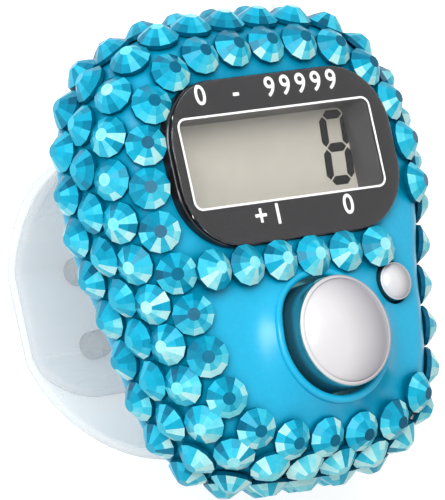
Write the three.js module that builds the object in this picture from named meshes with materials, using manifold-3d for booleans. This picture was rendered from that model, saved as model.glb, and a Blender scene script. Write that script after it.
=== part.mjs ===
// A digital tally counter worn on a finger, in millimetres.
// +X runs to the display's right, +Y to its top and +Z out of its face.
// The origin is on the flat outer back of the strap, which the counter stands on with its face up.

import * as THREE from "three";
import { mergeVertices } from "three/addons/utils/BufferGeometryUtils.js";
import Module from "manifold-3d";

const wasm = await Module();
wasm.setup();

// Window, and the display panel round it
const windowWidth = 20.6;
const windowHeight = 7.8;
const windowCornerRadius = 0.8;
const windowX = -0.55;
const windowY = 7.0;
const panelSideMargin = 1.45;
const panelEndMargin = 3.2;
const panelWidth = windowWidth + 2 * panelSideMargin;
const panelHeight = windowHeight + 2 * panelEndMargin;
const panelCornerRadius = 5.5;
const panelX = windowX + 0.35;
const panelY = windowY - 0.2;

// Body outline: a squarish superellipse, wider at the head than at the foot, with a border of crystals
const faceBorder = 4.4;
const bodyHalfHeight = 19.6;
const headHalfWidth = panelWidth / 2 + faceBorder;
const footHalfWidth = 13.8;
const waistY = -1.5;
const waistLength = 4.2;
const outlineExponent = 3.4;
const outlineSteps = 48;

// Heights, from the strap's back up
const loopDepth = 20.5;
const coverWall = 1.4;
const sideHeight = 4.9;
const shoulderHeight = 5.2;
const crownHeight = 1.0;
const coverBackZ = loopDepth;
const coverInnerZ = coverBackZ + coverWall;
const shoulderZ = coverInnerZ + sideHeight;
const shellTopZ = shoulderZ + shoulderHeight + crownHeight;

// Front shell
const shellWall = 1.6;
const topWall = 1.3;
const flatShare = 0.8;
const backDraft = 0.025;
const shoulderSteps = 5;
const crownSteps = 2;
const slipGap = 0.3;
const coverInset = 0.9;
const lipWall = 1.0;
const lipDraftGap = 0.3;
const weld = 0.2;
const cutPast = 1;

// Lens and printed mask, glued on a raised seat
const maskThickness = 0.25;
const lensThickness = 0.45;
const lensBevel = 0.2;
const seatRim = 0.15;
const seatZ = shellTopZ + 0.1;
const lensTopZ = seatZ + maskThickness + lensThickness;

// Circuit board and the display module that stands on it
const boardBottomZ = coverInnerZ + 4.1;
const boardThickness = 0.8;
const boardTopZ = boardBottomZ + boardThickness;
const boardInset = 1.1;
const glassSideMargin = 0.4;
const glassEndMargin = 1.2;
const glassWidth = windowWidth + 2 * glassSideMargin;
const glassHeight = windowHeight + 2 * glassEndMargin;
const glassThickness = 0.7;
const glassLedge = 1.6;
const backingThickness = 1.5;
const rearGlassZ = boardTopZ + backingThickness;
const frontGlassZ = rearGlassZ + glassThickness;
const glassTopZ = frontGlassZ + glassThickness;
const glassY = windowY - 0.1;
const padInset = 1.2;
const zebraEndInset = 0.7;
const zebraWidth = glassWidth - 2 * zebraEndInset;
const zebraThickness = 1.2;
const frameWall = 0.5;
const frameFlange = 0.6;
const frameGap = 0.2;
const frameSideGap = 0.15;
const frameFootLength = 5.6;
const frameFootY = windowY - 1.2;
const frameHook = 0.8;
const flangeCornerRadius = 1.4;

// Chip and small parts on the back of the board
const chipRadius = 3.5;
const chipDrop = 1.3;
const capacitorSize = [2.0, 1.3, 0.8];
const resistorSize = [1.6, 0.8, 0.5];
const smallPartGap = 2.0;

// Button cell and its contacts
const cellRadius = 5.8;
const cellHeight = 3.05;
const cellRim = 0.8;
const cellEdge = 0.25;
const cellY = -6.6;
const contactThickness = 0.25;
const contactWidth = 3.2;
const springReach = 2.5;
const clipLength = 6.5;
const clipBumpLength = 2.8;
const cellCupGap = 0.3;
const cellCupWall = 0.8;
const cellCupHeight = 2.4;

// Count button
const countX = 0.3;
const countY = -8.9;
const countRadius = 4.8;
const countWellGap = 0.45;
const countProud = 4.1;
const countDomeRise = 1.35;
const countTravel = 1.2;
const countFlange = 1.4;
const flangeThickness = 0.9;
const capWall = 1.0;
const capTopWall = 0.6;
const capPostRadius = 1.6;
const countTubeWall = 1.8;
const collarRadius = 7.1;
const collarRise = 0.3;
const collarEdge = 0.25;
const collarSlope = 1.0;
const collarSink = 0.1;
const crestOuter = 0.7;
const crestInner = 0.25;
const crestDrop = 0.35;

// Reset button
const resetX = 9.0;
const resetY = -5.1;
const resetRadius = 1.65;
const resetWellGap = 0.25;
const resetProud = 0.5;
const resetDomeRise = 0.7;
const resetTravel = 0.5;
const resetLugLength = 5.2;
const resetLugWidth = 2.6;
const resetLugThickness = 0.6;
const resetPostRadius = 1.0;
const resetTubeWall = 0.9;

// Rubber key domes on the board, with a carbon pill in each
const pillThickness = 0.5;
const pressedGap = 0.2;
const rubberTop = 0.9;
const rubberWall = 0.6;
const rubberFoot = 0.45;
const rubberRim = 0.45;
const rubberEdge = 0.3;
const pillSeat = 0.15;
const touchGap = 0.05;
const countDomeRadius = 3.6;
const countDomeHeight = rubberTop + pillThickness + countTravel + pressedGap;
const countPillRadius = 1.3;
const resetDomeRadius = 2.2;
const resetDomeHeight = rubberTop + pillThickness + resetTravel + pressedGap;
const resetPillRadius = 0.8;

// Case screws
const screwPlaces = [
  [-10.2, 13.6],
  [10.2, 13.6],
  [-9.2, -10.2],
  [9.2, -10.2],
];
const screwRadius = 0.85;
const screwLength = 6.0;
const screwHeadRadius = 1.5;
const screwHeadHeight = 0.8;
const screwSink = 1.0;
const screwEdge = 0.3;
const screwPoint = 0.7;
const bossRadius = 2.2;
const bossDrillStop = 0.6;
const padHeight = 1.1;
const bossTopZ = rearGlassZ - 0.1;

// Posts that hold the circuit board, under it on the cover and over it on the shell
const coverPosts = [
  [-4.6, -12.1],
  [4.6, -12.1],
  [-9.4, -3.4],
  [9.4, -3.4],
  [-5.5, 15.4],
  [5.5, 15.4],
];
const shellPosts = [
  [-5.0, -15.4],
  [5.0, -15.4],
  [-9.4, -3.4],
  [-5.5, 15.4],
  [5.5, 15.4],
];
const postRadius = 0.9;

// Finger strap: a D-shaped loop of two overlapping halves
const strapWidth = 14.5;
const strapThickness = 0.9;
const strapGap = 0.2;
const loopCentreY = -0.8;
const loopTopReach = 14.6;
const loopBottomReach = 15.2;
const loopTopExponent = 2.3;
const loopBottomExponent = 1.8;
const loopFlattening = 0.7;
const upperTail = 17.84;
const lowerStrapLength = 52.5;
const overlapLead = 4;
const tipCornerRadius = 5;
const flexLead = 3.76;
const flexGap = 0.3;
const anchorHeadDepth = 2.4;
const slotGap = 0.3;
const slotRise = 1.5;

// Strap pegs and the holes that they fill
const pegRadius = 1.25;
const pegHoleRadius = 1.7;
const pegCutLength = 6;
const pegCutLift = pegCutLength / 4;
const pegPitch = 6.7;
const pegMiddleY = 0.15;
const pegHeadRise = 0.7;
const pegDomeRise = 1.0;

// Flat-back crystals
const crystalRadius = 1.66;
const crystalHeight = 1.15;
const crystalTableRadius = 0.65;
const crystalSides = 8;
const crystalBackHeight = 1.45;
const crystalSideHeight = 4.6;
const crystalEdgeAngle = 29;
const crystalEdgeEndLean = 6;
const crystalFrontAngle = 69;
const crystalFrontTopLean = 9;
const crystalPhaseSteps = 8;
const crystalGlueGap = 0.3;
const crystalGlueThickness = 0.35;
const middleRowCount = 6;
const middleRowPitch = 3.55;
const middleRowX = -10.3;
const middleRowY = -2.0;

// Finishes
const cyanPlastic = { color: 0x2dbbe4, roughness: 0.35, metalness: 0 };
const cyanCrystal = { color: 0x3fc6ea, roughness: 0.1, metalness: 0.1 };
const blackPrint = { color: 0x2c2a2c, roughness: 0.3, metalness: 0 };
const blackPlastic = { color: 0x1c1c1e, roughness: 0.5, metalness: 0 };
const clearPlastic = { color: 0x4a4648, roughness: 0.08, metalness: 0 };
const liquidCrystal = { color: 0xc9c4b8, roughness: 0.25, metalness: 0 };
const pearlSilver = { color: 0xe4e2e4, roughness: 0.25, metalness: 0.5 };
const clearSilicone = { color: 0xeef0f0, roughness: 0.4, metalness: 0 };
const milkySilicone = { color: 0xd8dad6, roughness: 0.6, metalness: 0 };
const greenBoard = { color: 0x1f6b3a, roughness: 0.5, metalness: 0 };
const steel = { color: 0xb8babd, roughness: 0.3, metalness: 0.9 };
const carbon = { color: 0x222222, roughness: 0.7, metalness: 0 };
const foam = { color: 0x8e8e8e, roughness: 0.9, metalness: 0 };
const ceramic = { color: 0xb08a5a, roughness: 0.5, metalness: 0 };

function solidOf(geometry) {
  const bare = geometry.clone();
  bare.deleteAttribute("normal");
  bare.deleteAttribute("uv");
  const merged = mergeVertices(bare, 1e-4);
  return new wasm.Manifold(
    new wasm.Mesh({
      numProp: 3,
      vertProperties: Float32Array.from(merged.attributes.position.array),
      triVerts: Uint32Array.from(merged.index.array),
    }),
  );
}

function geometryOf(solid) {
  const mesh = solid.getMesh();
  const geometry = new THREE.BufferGeometry();
  geometry.setAttribute("position", new THREE.BufferAttribute(mesh.vertProperties, 3));
  geometry.setIndex(new THREE.BufferAttribute(mesh.triVerts, 1));
  geometry.computeVertexNormals();
  return geometry;
}

function piece(name, shape, finish) {
  const geometry = shape.isBufferGeometry ? shape : geometryOf(shape);
  const mesh = new THREE.Mesh(geometry, new THREE.MeshStandardMaterial(finish));
  mesh.name = name;
  return mesh;
}

// An upright block between two corners
function block(x0, x1, y0, y1, z0, z1) {
  const geometry = new THREE.BoxGeometry(x1 - x0, y1 - y0, z1 - z0);
  return solidOf(geometry.translate((x0 + x1) / 2, (y0 + y1) / 2, (z0 + z1) / 2));
}

// An upright round bar
function bar(x, y, radius, z0, z1, sides = 20) {
  const geometry = new THREE.CylinderGeometry(radius, radius, z1 - z0, sides);
  return solidOf(geometry.rotateX(Math.PI / 2).translate(x, y, (z0 + z1) / 2));
}

// A piece turned about an upright axis; its profile lists radius and height, from the axis back to the axis
function turned(x, y, profile, sides = 28) {
  const points = profile.map(([r, z]) => new THREE.Vector2(r, z));
  const geometry = new THREE.LatheGeometry(points, sides);
  return solidOf(geometry.rotateX(Math.PI / 2).translate(x, y, 0));
}

// A flat plate of any outline, with an optional bevel round its top edge
function plate(shape, z0, z1, bevel = 0) {
  const geometry = new THREE.ExtrudeGeometry(shape, {
    depth: z1 - z0,
    bevelEnabled: false,
    curveSegments: 6,
  });
  geometry.translate(0, 0, z0);
  const solid = solidOf(geometry);
  return bevel ? solid.intersect(topBevel(shape, z0, z1, bevel)) : solid;
}

function topBevel(shape, z0, z1, bevel) {
  const geometry = new THREE.ExtrudeGeometry(shape, {
    depth: z1 - z0,
    bevelEnabled: true,
    bevelThickness: bevel,
    bevelSize: bevel,
    bevelOffset: -bevel,
    bevelSegments: 1,
    curveSegments: 6,
  });
  return solidOf(geometry.translate(0, 0, z0 - bevel));
}

function roundedRectangle(width, height, radius, x, y) {
  const left = x - width / 2 + radius;
  const right = x + width / 2 - radius;
  const low = y - height / 2 + radius;
  const high = y + height / 2 - radius;
  const shape = new THREE.Shape();
  shape.absarc(right, low, radius, -Math.PI / 2, 0);
  shape.absarc(right, high, radius, 0, Math.PI / 2);
  shape.absarc(left, high, radius, Math.PI / 2, Math.PI);
  shape.absarc(left, low, radius, Math.PI, Math.PI * 1.5);
  return shape;
}

// Outlines of the display panel and of its window, each grown by an extra margin
function panelShape(extra) {
  const radius = panelCornerRadius + extra;
  return roundedRectangle(panelWidth + 2 * extra, panelHeight + 2 * extra, radius, panelX, panelY);
}

function windowShape(extra) {
  const radius = windowCornerRadius + extra;
  return roundedRectangle(windowWidth + 2 * extra, windowHeight + 2 * extra, radius, windowX, windowY);
}

// Body outline

function halfWidthAt(y) {
  const middle = (headHalfWidth + footHalfWidth) / 2;
  const swing = (headHalfWidth - footHalfWidth) / 2;
  return middle + swing * Math.tanh((y - waistY) / waistLength);
}

function outlineAt(angle, inset) {
  const root = (v) => Math.sign(v) * Math.abs(v) ** (2 / outlineExponent);
  const y = (bodyHalfHeight - inset) * root(Math.sin(angle));
  return new THREE.Vector2((halfWidthAt(y) - inset) * root(Math.cos(angle)), y);
}

// Points spaced evenly along a polyline, found by walking its length
function spaced(points, count, closed) {
  const path = closed ? [...points, points[0]] : points;
  const reach = [0];
  for (let i = 1; i < path.length; i += 1) {
    reach.push(reach[i - 1] + path[i].distanceTo(path[i - 1]));
  }
  const parts = closed ? count : count - 1;
  const found = [];
  let i = 1;
  for (let n = 0; n < count; n += 1) {
    const at = (reach[reach.length - 1] * n) / parts;
    while (i < path.length - 1 && reach[i] < at) {
      i += 1;
    }
    const share = (at - reach[i - 1]) / (reach[i] - reach[i - 1]);
    found.push(path[i - 1].clone().lerp(path[i], share));
  }
  return found;
}

function outline(inset, count = outlineSteps) {
  const fine = [];
  const fineSteps = 720;
  for (let i = 0; i < fineSteps; i += 1) {
    fine.push(outlineAt((2 * Math.PI * i) / fineSteps, inset));
  }
  return spaced(fine, count, true);
}

// A closed solid through copies of one outline, each scaled and set at its height, with a point on top
function domed(points, levels, topZ) {
  const positions = [0, 0, levels[0].z];
  for (const { scale, z } of levels) {
    for (const p of points) {
      positions.push(scale * p.x, scale * p.y, z);
    }
  }
  positions.push(0, 0, topZ);
  const count = points.length;
  const last = positions.length / 3 - 1;
  const top = 1 + (levels.length - 1) * count;
  const faces = [];
  for (let i = 0; i < count; i += 1) {
    const j = (i + 1) % count;
    faces.push(0, 1 + j, 1 + i);
    faces.push(last, top + i, top + j);
    for (let level = 0; level < levels.length - 1; level += 1) {
      const a = 1 + level * count;
      const b = a + count;
      faces.push(a + i, a + j, b + j, a + i, b + j, b + i);
    }
  }
  const geometry = new THREE.BufferGeometry();
  geometry.setAttribute("position", new THREE.Float32BufferAttribute(positions, 3));
  geometry.setIndex(faces);
  return solidOf(geometry);
}

// Side wall, rounded shoulder and low crown, as scales of the outline and their heights
function domeLevels(startZ, crownTopZ) {
  const levels = [
    { scale: 1 - backDraft, z: startZ },
    { scale: 1, z: shoulderZ },
  ];
  const flatZ = crownTopZ - crownHeight;
  for (let i = 1; i <= shoulderSteps; i += 1) {
    const angle = (Math.PI / 2) * (i / shoulderSteps);
    levels.push({
      scale: flatShare + (1 - flatShare) * Math.cos(angle),
      z: shoulderZ + (flatZ - shoulderZ) * Math.sin(angle),
    });
  }
  for (let i = 1; i < crownSteps; i += 1) {
    const share = 1 - i / crownSteps;
    levels.push({ scale: flatShare * share, z: crownTopZ - crownHeight * share ** 2 });
  }
  return levels;
}

function outerDome() {
  return domed(outline(0), domeLevels(coverInnerZ, shellTopZ), shellTopZ);
}

function innerDome() {
  const inside = shellTopZ - topWall;
  const below = coverInnerZ - 1;
  return domed(outline(shellWall), domeLevels(below, inside), inside);
}

// Height of the outer dome over a point of its near-flat crown
function crownZ(x, y) {
  const across = (Math.abs(x) / halfWidthAt(y)) ** outlineExponent;
  const up = (Math.abs(y) / bodyHalfHeight) ** outlineExponent;
  const scale = (across + up) ** (1 / outlineExponent);
  return shellTopZ - crownHeight * Math.min(1, scale / flatShare) ** 2;
}

// Front shell

const countRimZ = shellTopZ + collarRise;
const countFlangeZ = boardTopZ + countDomeHeight + 0.1;
const resetLugZ = boardTopZ + resetDomeHeight + 0.1;
const countWellRadius = countRadius + countWellGap;
const resetWellRadius = resetRadius + resetWellGap;

function countCollar() {
  const foot = shellTopZ - crownHeight - topWall / 2;
  return turned(countX, countY, [
    [0, foot],
    [collarRadius, foot],
    [collarRadius, crownZ(0, countY - collarRadius) + collarEdge],
    [collarRadius - collarSlope, shellTopZ - collarSink],
    [countWellRadius + crestOuter, countRimZ],
    [countWellRadius + crestInner, countRimZ],
    [countWellRadius - collarSink, countRimZ - crestDrop],
    [0, countRimZ - crestDrop],
  ], 32);
}

function shellBosses() {
  const insideZ = shellTopZ - topWall / 2;
  const countStopZ = countFlangeZ + flangeThickness + touchGap;
  const resetStopZ = resetLugZ + resetLugThickness + touchGap;
  let bosses = bar(countX, countY, countWellRadius + countTubeWall, countStopZ, insideZ, 32);
  bosses = bosses.add(bar(resetX, resetY, resetWellRadius + resetTubeWall, resetStopZ, insideZ));
  for (const [x, y] of screwPlaces) {
    bosses = bosses.add(bar(x, y, bossRadius, coverInnerZ + padHeight + touchGap, bossTopZ, 14));
  }
  for (const [x, y] of shellPosts) {
    bosses = bosses.add(bar(x, y, postRadius, boardTopZ, insideZ, 8));
  }
  return bosses;
}

function frontShell() {
  const outer = outerDome();
  const seat = panelShape(seatRim);
  let shell = outer.subtract(innerDome());
  shell = shell.add(shellBosses().intersect(outer));
  shell = shell.add(plate(seat, shellTopZ - crownHeight - topWall / 2, seatZ));
  shell = shell.add(countCollar());
  shell = shell.subtract(plate(windowShape(frameWall + frameGap), glassTopZ, seatZ + cutPast));
  shell = shell.subtract(bar(countX, countY, countWellRadius, coverInnerZ, seatZ + cutPast, 32));
  shell = shell.subtract(bar(resetX, resetY, resetWellRadius, coverInnerZ, seatZ + cutPast, 16));
  for (const [x, y] of screwPlaces) {
    shell = shell.subtract(bar(x, y, screwRadius + slipGap, coverInnerZ, bossTopZ - bossDrillStop, 12));
  }
  return piece("front_shell", shell, cyanPlastic);
}

// Rear cover

function strapSlot(y) {
  const wide = strapWidth / 2 + slotGap;
  const deep = strapThickness / 2 + slotGap;
  return block(-wide, wide, y - deep, y + deep, coverBackZ - cutPast, coverInnerZ + cutPast);
}

// The bar at a strap's root that lies inside the cover, wider than the slot; gap grows it to its pocket
function anchorHead(y, inwards, gap = 0) {
  const wide = strapWidth / 2 + gap;
  const outer = y - inwards * (strapThickness / 2 + gap);
  const inner = y + inwards * (anchorHeadDepth - strapThickness / 2 + gap);
  const topZ = coverInnerZ + strapThickness + (gap ? slotRise : 0);
  return block(-wide, wide, Math.min(outer, inner), Math.max(outer, inner), coverInnerZ, topZ);
}

const upperRootY = loopCentreY + loopTopReach - strapThickness / 2;
const lowerRootY = loopCentreY - loopBottomReach + strapThickness / 2;

// The lip that the shell slips over, with the screw pads
function coverLip() {
  const inset = shellWall + slipGap + lipDraftGap;
  const edge = new THREE.Shape(outline(inset));
  const hollowTopZ = coverInnerZ + padHeight + cutPast;
  const hollow = plate(new THREE.Shape(outline(inset + lipWall)), coverInnerZ - cutPast, hollowTopZ);
  let lip = plate(edge, coverInnerZ - weld, coverInnerZ + padHeight).subtract(hollow);
  for (const [x, y] of screwPlaces) {
    const pad = bar(x, y, bossRadius, coverInnerZ - weld, coverInnerZ + padHeight, 14);
    lip = lip.add(pad.intersect(plate(edge, coverInnerZ - cutPast, boardBottomZ)));
  }
  return lip;
}

// An open cup that holds the button cell, notched for the spring contact
function cellCup() {
  const inner = cellRadius + cellCupGap;
  const rim = coverInnerZ + cellCupHeight;
  const notch = contactWidth / 2 + slipGap;
  const cup = bar(0, cellY, inner + cellCupWall, coverInnerZ - weld, rim, 24);
  const hollow = bar(0, cellY, inner, coverInnerZ, rim + cutPast, 24);
  const way = block(-notch, notch, cellY, cellY + inner + 2, coverInnerZ, rim + cutPast);
  return cup.subtract(hollow).subtract(way);
}

function rearCover() {
  let cover = plate(new THREE.Shape(outline(coverInset)), coverBackZ, coverInnerZ);
  cover = cover.add(coverLip()).add(cellCup());
  for (const [x, y] of coverPosts) {
    cover = cover.add(bar(x, y, postRadius, coverInnerZ - weld, boardBottomZ, 8));
  }
  for (const [x, y] of screwPlaces) {
    const screwTopZ = coverInnerZ + padHeight + 1;
    const headRadius = screwHeadRadius + slipGap;
    cover = cover.subtract(bar(x, y, headRadius, coverBackZ - cutPast, coverBackZ + screwSink, 14));
    cover = cover.subtract(bar(x, y, screwRadius + slipGap, coverBackZ - cutPast, screwTopZ, 12));
  }
  for (const [y, inwards] of [[upperRootY, -1], [lowerRootY, 1]]) {
    cover = cover.subtract(strapSlot(y)).subtract(anchorHead(y, inwards, slotGap));
  }
  return piece("rear_cover", cover, cyanPlastic);
}

function caseScrew(index, x, y) {
  const seat = coverBackZ + screwSink;
  const screw = turned(0, 0, [
    [0, seat - screwHeadHeight],
    [screwHeadRadius - screwEdge, seat - screwHeadHeight],
    [screwHeadRadius, seat - screwHeadHeight + screwEdge],
    [screwHeadRadius, seat],
    [screwRadius, seat],
    [screwRadius, seat + screwLength - screwPoint],
    [0, seat + screwLength],
  ], 12);
  const mesh = piece(`case_screw_${index + 1}`, screw, steel);
  mesh.position.set(x, y, 0);
  return mesh;
}

// Display

function displayLens() {
  const lens = plate(panelShape(0), seatZ + maskThickness, lensTopZ, lensBevel);
  return piece("display_lens", lens, clearPlastic);
}

function displayMask() {
  const mask = plate(panelShape(0), seatZ, seatZ + maskThickness);
  const opening = plate(windowShape(0), seatZ - cutPast, seatZ + cutPast);
  return piece("display_mask", mask.subtract(opening), blackPrint);
}

function lcdFrame() {
  const flangeTop = glassTopZ + frameFlange;
  const flangeHeight = glassHeight - 2 * frameGap * 2;
  const flange = roundedRectangle(glassWidth - frameGap, flangeHeight, flangeCornerRadius, windowX, windowY);
  let frame = plate(flange, glassTopZ, flangeTop);
  frame = frame.add(plate(windowShape(frameWall), glassTopZ, seatZ - touchGap));
  frame = frame.subtract(plate(windowShape(-0.1), glassTopZ - cutPast, seatZ + cutPast));
  for (const side of [-1, 1]) {
    frame = frame.add(frameFoot(side));
  }
  return piece("lcd_frame", frame, blackPlastic);
}

// A foot beside the glass, from the board up, with a bridge over the glass's edge
function frameFoot(side) {
  const middle = windowX + side * (glassWidth / 2 + frameSideGap + frameWall / 2);
  const low = frameFootY - frameFootLength / 2;
  const high = frameFootY + frameFootLength / 2;
  const bridgeTop = glassTopZ + frameFlange - 0.15;
  const reach = middle - side * frameHook;
  const foot = block(middle - frameWall / 2, middle + frameWall / 2, low, high, boardTopZ, bridgeTop);
  const bridge = block(Math.min(middle, reach), Math.max(middle, reach), low, high, glassTopZ, bridgeTop);
  return foot.add(bridge);
}

const glassTopEdge = glassY + glassHeight / 2;
const glassLowEdge = glassY - glassHeight / 2;

function lcdGlasses() {
  const left = windowX - glassWidth / 2;
  const right = windowX + glassWidth / 2;
  const front = block(left, right, glassLowEdge, glassTopEdge, frontGlassZ, glassTopZ);
  const rear = block(left, right, glassLowEdge + glassLedge, glassTopEdge, rearGlassZ, frontGlassZ);
  return [piece("lcd_front_glass", front, liquidCrystal), piece("lcd_rear_glass", rear, liquidCrystal)];
}

function lcdBacking() {
  const half = glassWidth / 2 - padInset;
  const low = glassLowEdge + glassLedge + padInset / 2;
  const high = glassTopEdge - padInset;
  const pad = block(windowX - half, windowX + half, low, high, boardTopZ, rearGlassZ);
  return piece("lcd_foam_pad", pad, foam);
}

function zebraStrip() {
  const middle = glassLowEdge + glassLedge / 2;
  const strip = block(
    -zebraWidth / 2,
    zebraWidth / 2,
    middle - zebraThickness / 2,
    middle + zebraThickness / 2,
    boardTopZ,
    frontGlassZ,
  );
  return piece("zebra_strip", strip, carbon);
}

// Circuit board and what is soldered to it

function circuitBoard() {
  let board = plate(new THREE.Shape(outline(shellWall + boardInset, 40)), boardBottomZ, boardTopZ);
  for (const [x, y] of screwPlaces) {
    board = board.subtract(bar(x, y, bossRadius + slipGap, boardBottomZ - cutPast, boardTopZ + cutPast, 14));
  }
  return piece("circuit_board", board, greenBoard);
}

function chipBlob() {
  const blob = turned(0, windowY, [
    [0, boardBottomZ - chipDrop],
    [chipRadius * 0.55, boardBottomZ - chipDrop * 0.88],
    [chipRadius * 0.88, boardBottomZ - chipDrop * 0.45],
    [chipRadius, boardBottomZ],
    [0, boardBottomZ],
  ], 24);
  return piece("chip_blob", blob, carbon);
}

// Two small parts that lie on the back of the board, one on each side of the chip
function surfacePart(name, side, [length, width, height], finish) {
  const middle = side * (chipRadius + smallPartGap + length / 2);
  const y = windowY - chipRadius;
  const top = boardBottomZ;
  const [halfLength, halfWidth] = [length / 2, width / 2];
  const shape = block(middle - halfLength, middle + halfLength, y - halfWidth, y + halfWidth, top - height, top);
  return piece(name, shape, finish);
}

const cellBottomZ = coverInnerZ + contactThickness;
const cellTopZ = cellBottomZ + cellHeight;

function buttonCell() {
  const cell = turned(0, cellY, [
    [0, cellBottomZ],
    [cellRadius - cellRim, cellBottomZ],
    [cellRadius - cellRim, cellBottomZ + cellEdge],
    [cellRadius, cellBottomZ + 2 * cellEdge],
    [cellRadius, cellTopZ - cellEdge],
    [cellRadius - cellEdge, cellTopZ],
    [0, cellTopZ],
  ], 28);
  return piece("button_cell", cell, steel);
}

function negativeSpring() {
  const half = contactWidth / 2;
  const legY = cellY + cellRadius + cellCupGap + cellCupWall + 0.3;
  const legEndY = legY + contactThickness;
  const foot = block(-half, half, cellY - springReach, legEndY, coverInnerZ, cellBottomZ);
  const leg = block(-half, half, legY, legEndY, coverInnerZ, boardBottomZ);
  return piece("battery_negative_spring", foot.add(leg), steel);
}

function positiveClip() {
  const half = contactWidth / 2;
  const bumpHalf = clipBumpLength / 2;
  const padZ = boardBottomZ - contactThickness;
  const padEndY = cellY + springReach;
  const pad = block(-half, half, padEndY - clipLength, padEndY, padZ, boardBottomZ);
  const bump = block(-bumpHalf, bumpHalf, cellY - bumpHalf, cellY + bumpHalf, cellTopZ, padZ);
  return piece("battery_positive_clip", pad.add(bump), steel);
}

// Buttons, rubber domes and carbon pills

function countButton() {
  const flangeTop = countFlangeZ + flangeThickness;
  const rimZ = shellTopZ + countProud - countDomeRise;
  const crown = [];
  const crownSegments = 7;
  for (let i = 0; i <= crownSegments; i += 1) {
    const angle = (Math.PI / 2) * (i / crownSegments);
    crown.push([countRadius * Math.cos(angle), rimZ + countDomeRise * Math.sin(angle)]);
  }
  crown[crownSegments][0] = 0;
  const cavityTop = rimZ - capTopWall;
  const cap = turned(countX, countY, [
    [0, boardTopZ + countDomeHeight + touchGap],
    [capPostRadius, boardTopZ + countDomeHeight + touchGap],
    [capPostRadius, cavityTop],
    [countRadius - capWall, cavityTop],
    [countRadius - capWall, countFlangeZ],
    [countRadius + countFlange, countFlangeZ],
    [countRadius + countFlange, flangeTop],
    [countRadius, flangeTop],
    ...crown,
  ], 30);
  return piece("count_button", cap, pearlSilver);
}

function resetButton() {
  const lugTop = resetLugZ + resetLugThickness;
  const rimZ = crownZ(resetX, resetY) + resetProud;
  const crown = [];
  const crownSegments = 5;
  for (let i = 0; i <= crownSegments; i += 1) {
    const angle = (Math.PI / 2) * (i / crownSegments);
    crown.push([resetRadius * Math.cos(angle), rimZ + resetDomeRise * Math.sin(angle)]);
  }
  crown[crownSegments][0] = 0;
  const stem = turned(resetX, resetY, [
    [0, boardTopZ + resetDomeHeight + touchGap],
    [resetPostRadius, boardTopZ + resetDomeHeight + touchGap],
    [resetPostRadius, resetLugZ],
    [resetRadius, resetLugZ],
    ...crown,
  ], 20);
  const lugs = block(
    resetX - resetLugWidth / 2,
    resetX + resetLugWidth / 2,
    resetY - resetLugLength / 2,
    resetY + resetLugLength / 2,
    resetLugZ,
    lugTop,
  );
  return piece("reset_button", stem.add(lugs), pearlSilver);
}

// A rubber dome: a foot ring on the board, a thin cone and a flat top that the button presses
function rubberDome(name, x, y, radius, height, pillRadius) {
  const top = boardTopZ + height;
  const dome = turned(x, y, [
    [0, top - rubberTop],
    [pillRadius + pillSeat, top - rubberTop],
    [radius - rubberWall, boardTopZ + rubberFoot],
    [radius - rubberWall, boardTopZ],
    [radius, boardTopZ],
    [radius, boardTopZ + rubberFoot],
    [pillRadius + rubberRim, top - rubberEdge],
    [pillRadius + rubberRim, top],
    [0, top],
  ], 24);
  return piece(name, dome, milkySilicone);
}

function carbonPill(name, x, y, height, radius) {
  const top = boardTopZ + height - rubberTop;
  return piece(name, bar(x, y, radius, top - pillThickness, top, 16), carbon);
}

// Finger strap

// A point of the loop's outer side, the angle running from 0 at the upper root to pi at the lower root
function loopPoint(angle) {
  const upper = angle < Math.PI / 2;
  const exponent = upper ? loopTopExponent : loopBottomExponent;
  const reach = upper ? loopTopReach : -loopBottomReach;
  const across = Math.abs(Math.cos(angle)) ** (2 / exponent);
  const down = Math.abs(Math.sin(angle)) ** (2 / exponent);
  const z = loopDepth - (loopDepth + loopFlattening) * down;
  return new THREE.Vector2(loopCentreY + reach * across, Math.max(0, z));
}

function loopPath() {
  const points = [new THREE.Vector2(loopCentreY + loopTopReach, coverInnerZ)];
  const fineSteps = 400;
  for (let i = 0; i <= fineSteps; i += 1) {
    points.push(loopPoint((Math.PI * i) / fineSteps));
  }
  points.push(new THREE.Vector2(loopCentreY - loopBottomReach, coverInnerZ));
  return points;
}

const loop = loopPath();
const loopReach = [0];
for (let i = 1; i < loop.length; i += 1) {
  loopReach.push(loopReach[i - 1] + loop[i].distanceTo(loop[i - 1]));
}
const loopLength = loopReach[loop.length - 1];

// The loop's outer point at a distance along it from the upper root
function loopAt(distance) {
  const at = Math.min(Math.max(distance, 0), loopLength);
  let i = 1;
  while (i < loop.length - 1 && loopReach[i] < at) {
    i += 1;
  }
  const share = (at - loopReach[i - 1]) / (loopReach[i] - loopReach[i - 1]);
  return loop[i - 1].clone().lerp(loop[i], share);
}

// That point with the direction into the loop, taken over a short length on both sides
function loopStation(distance) {
  const reach = 0.6;
  const along = loopAt(distance + reach).sub(loopAt(distance - reach)).normalize();
  return { point: loopAt(distance), inward: new THREE.Vector2(along.y, -along.x) };
}

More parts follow.
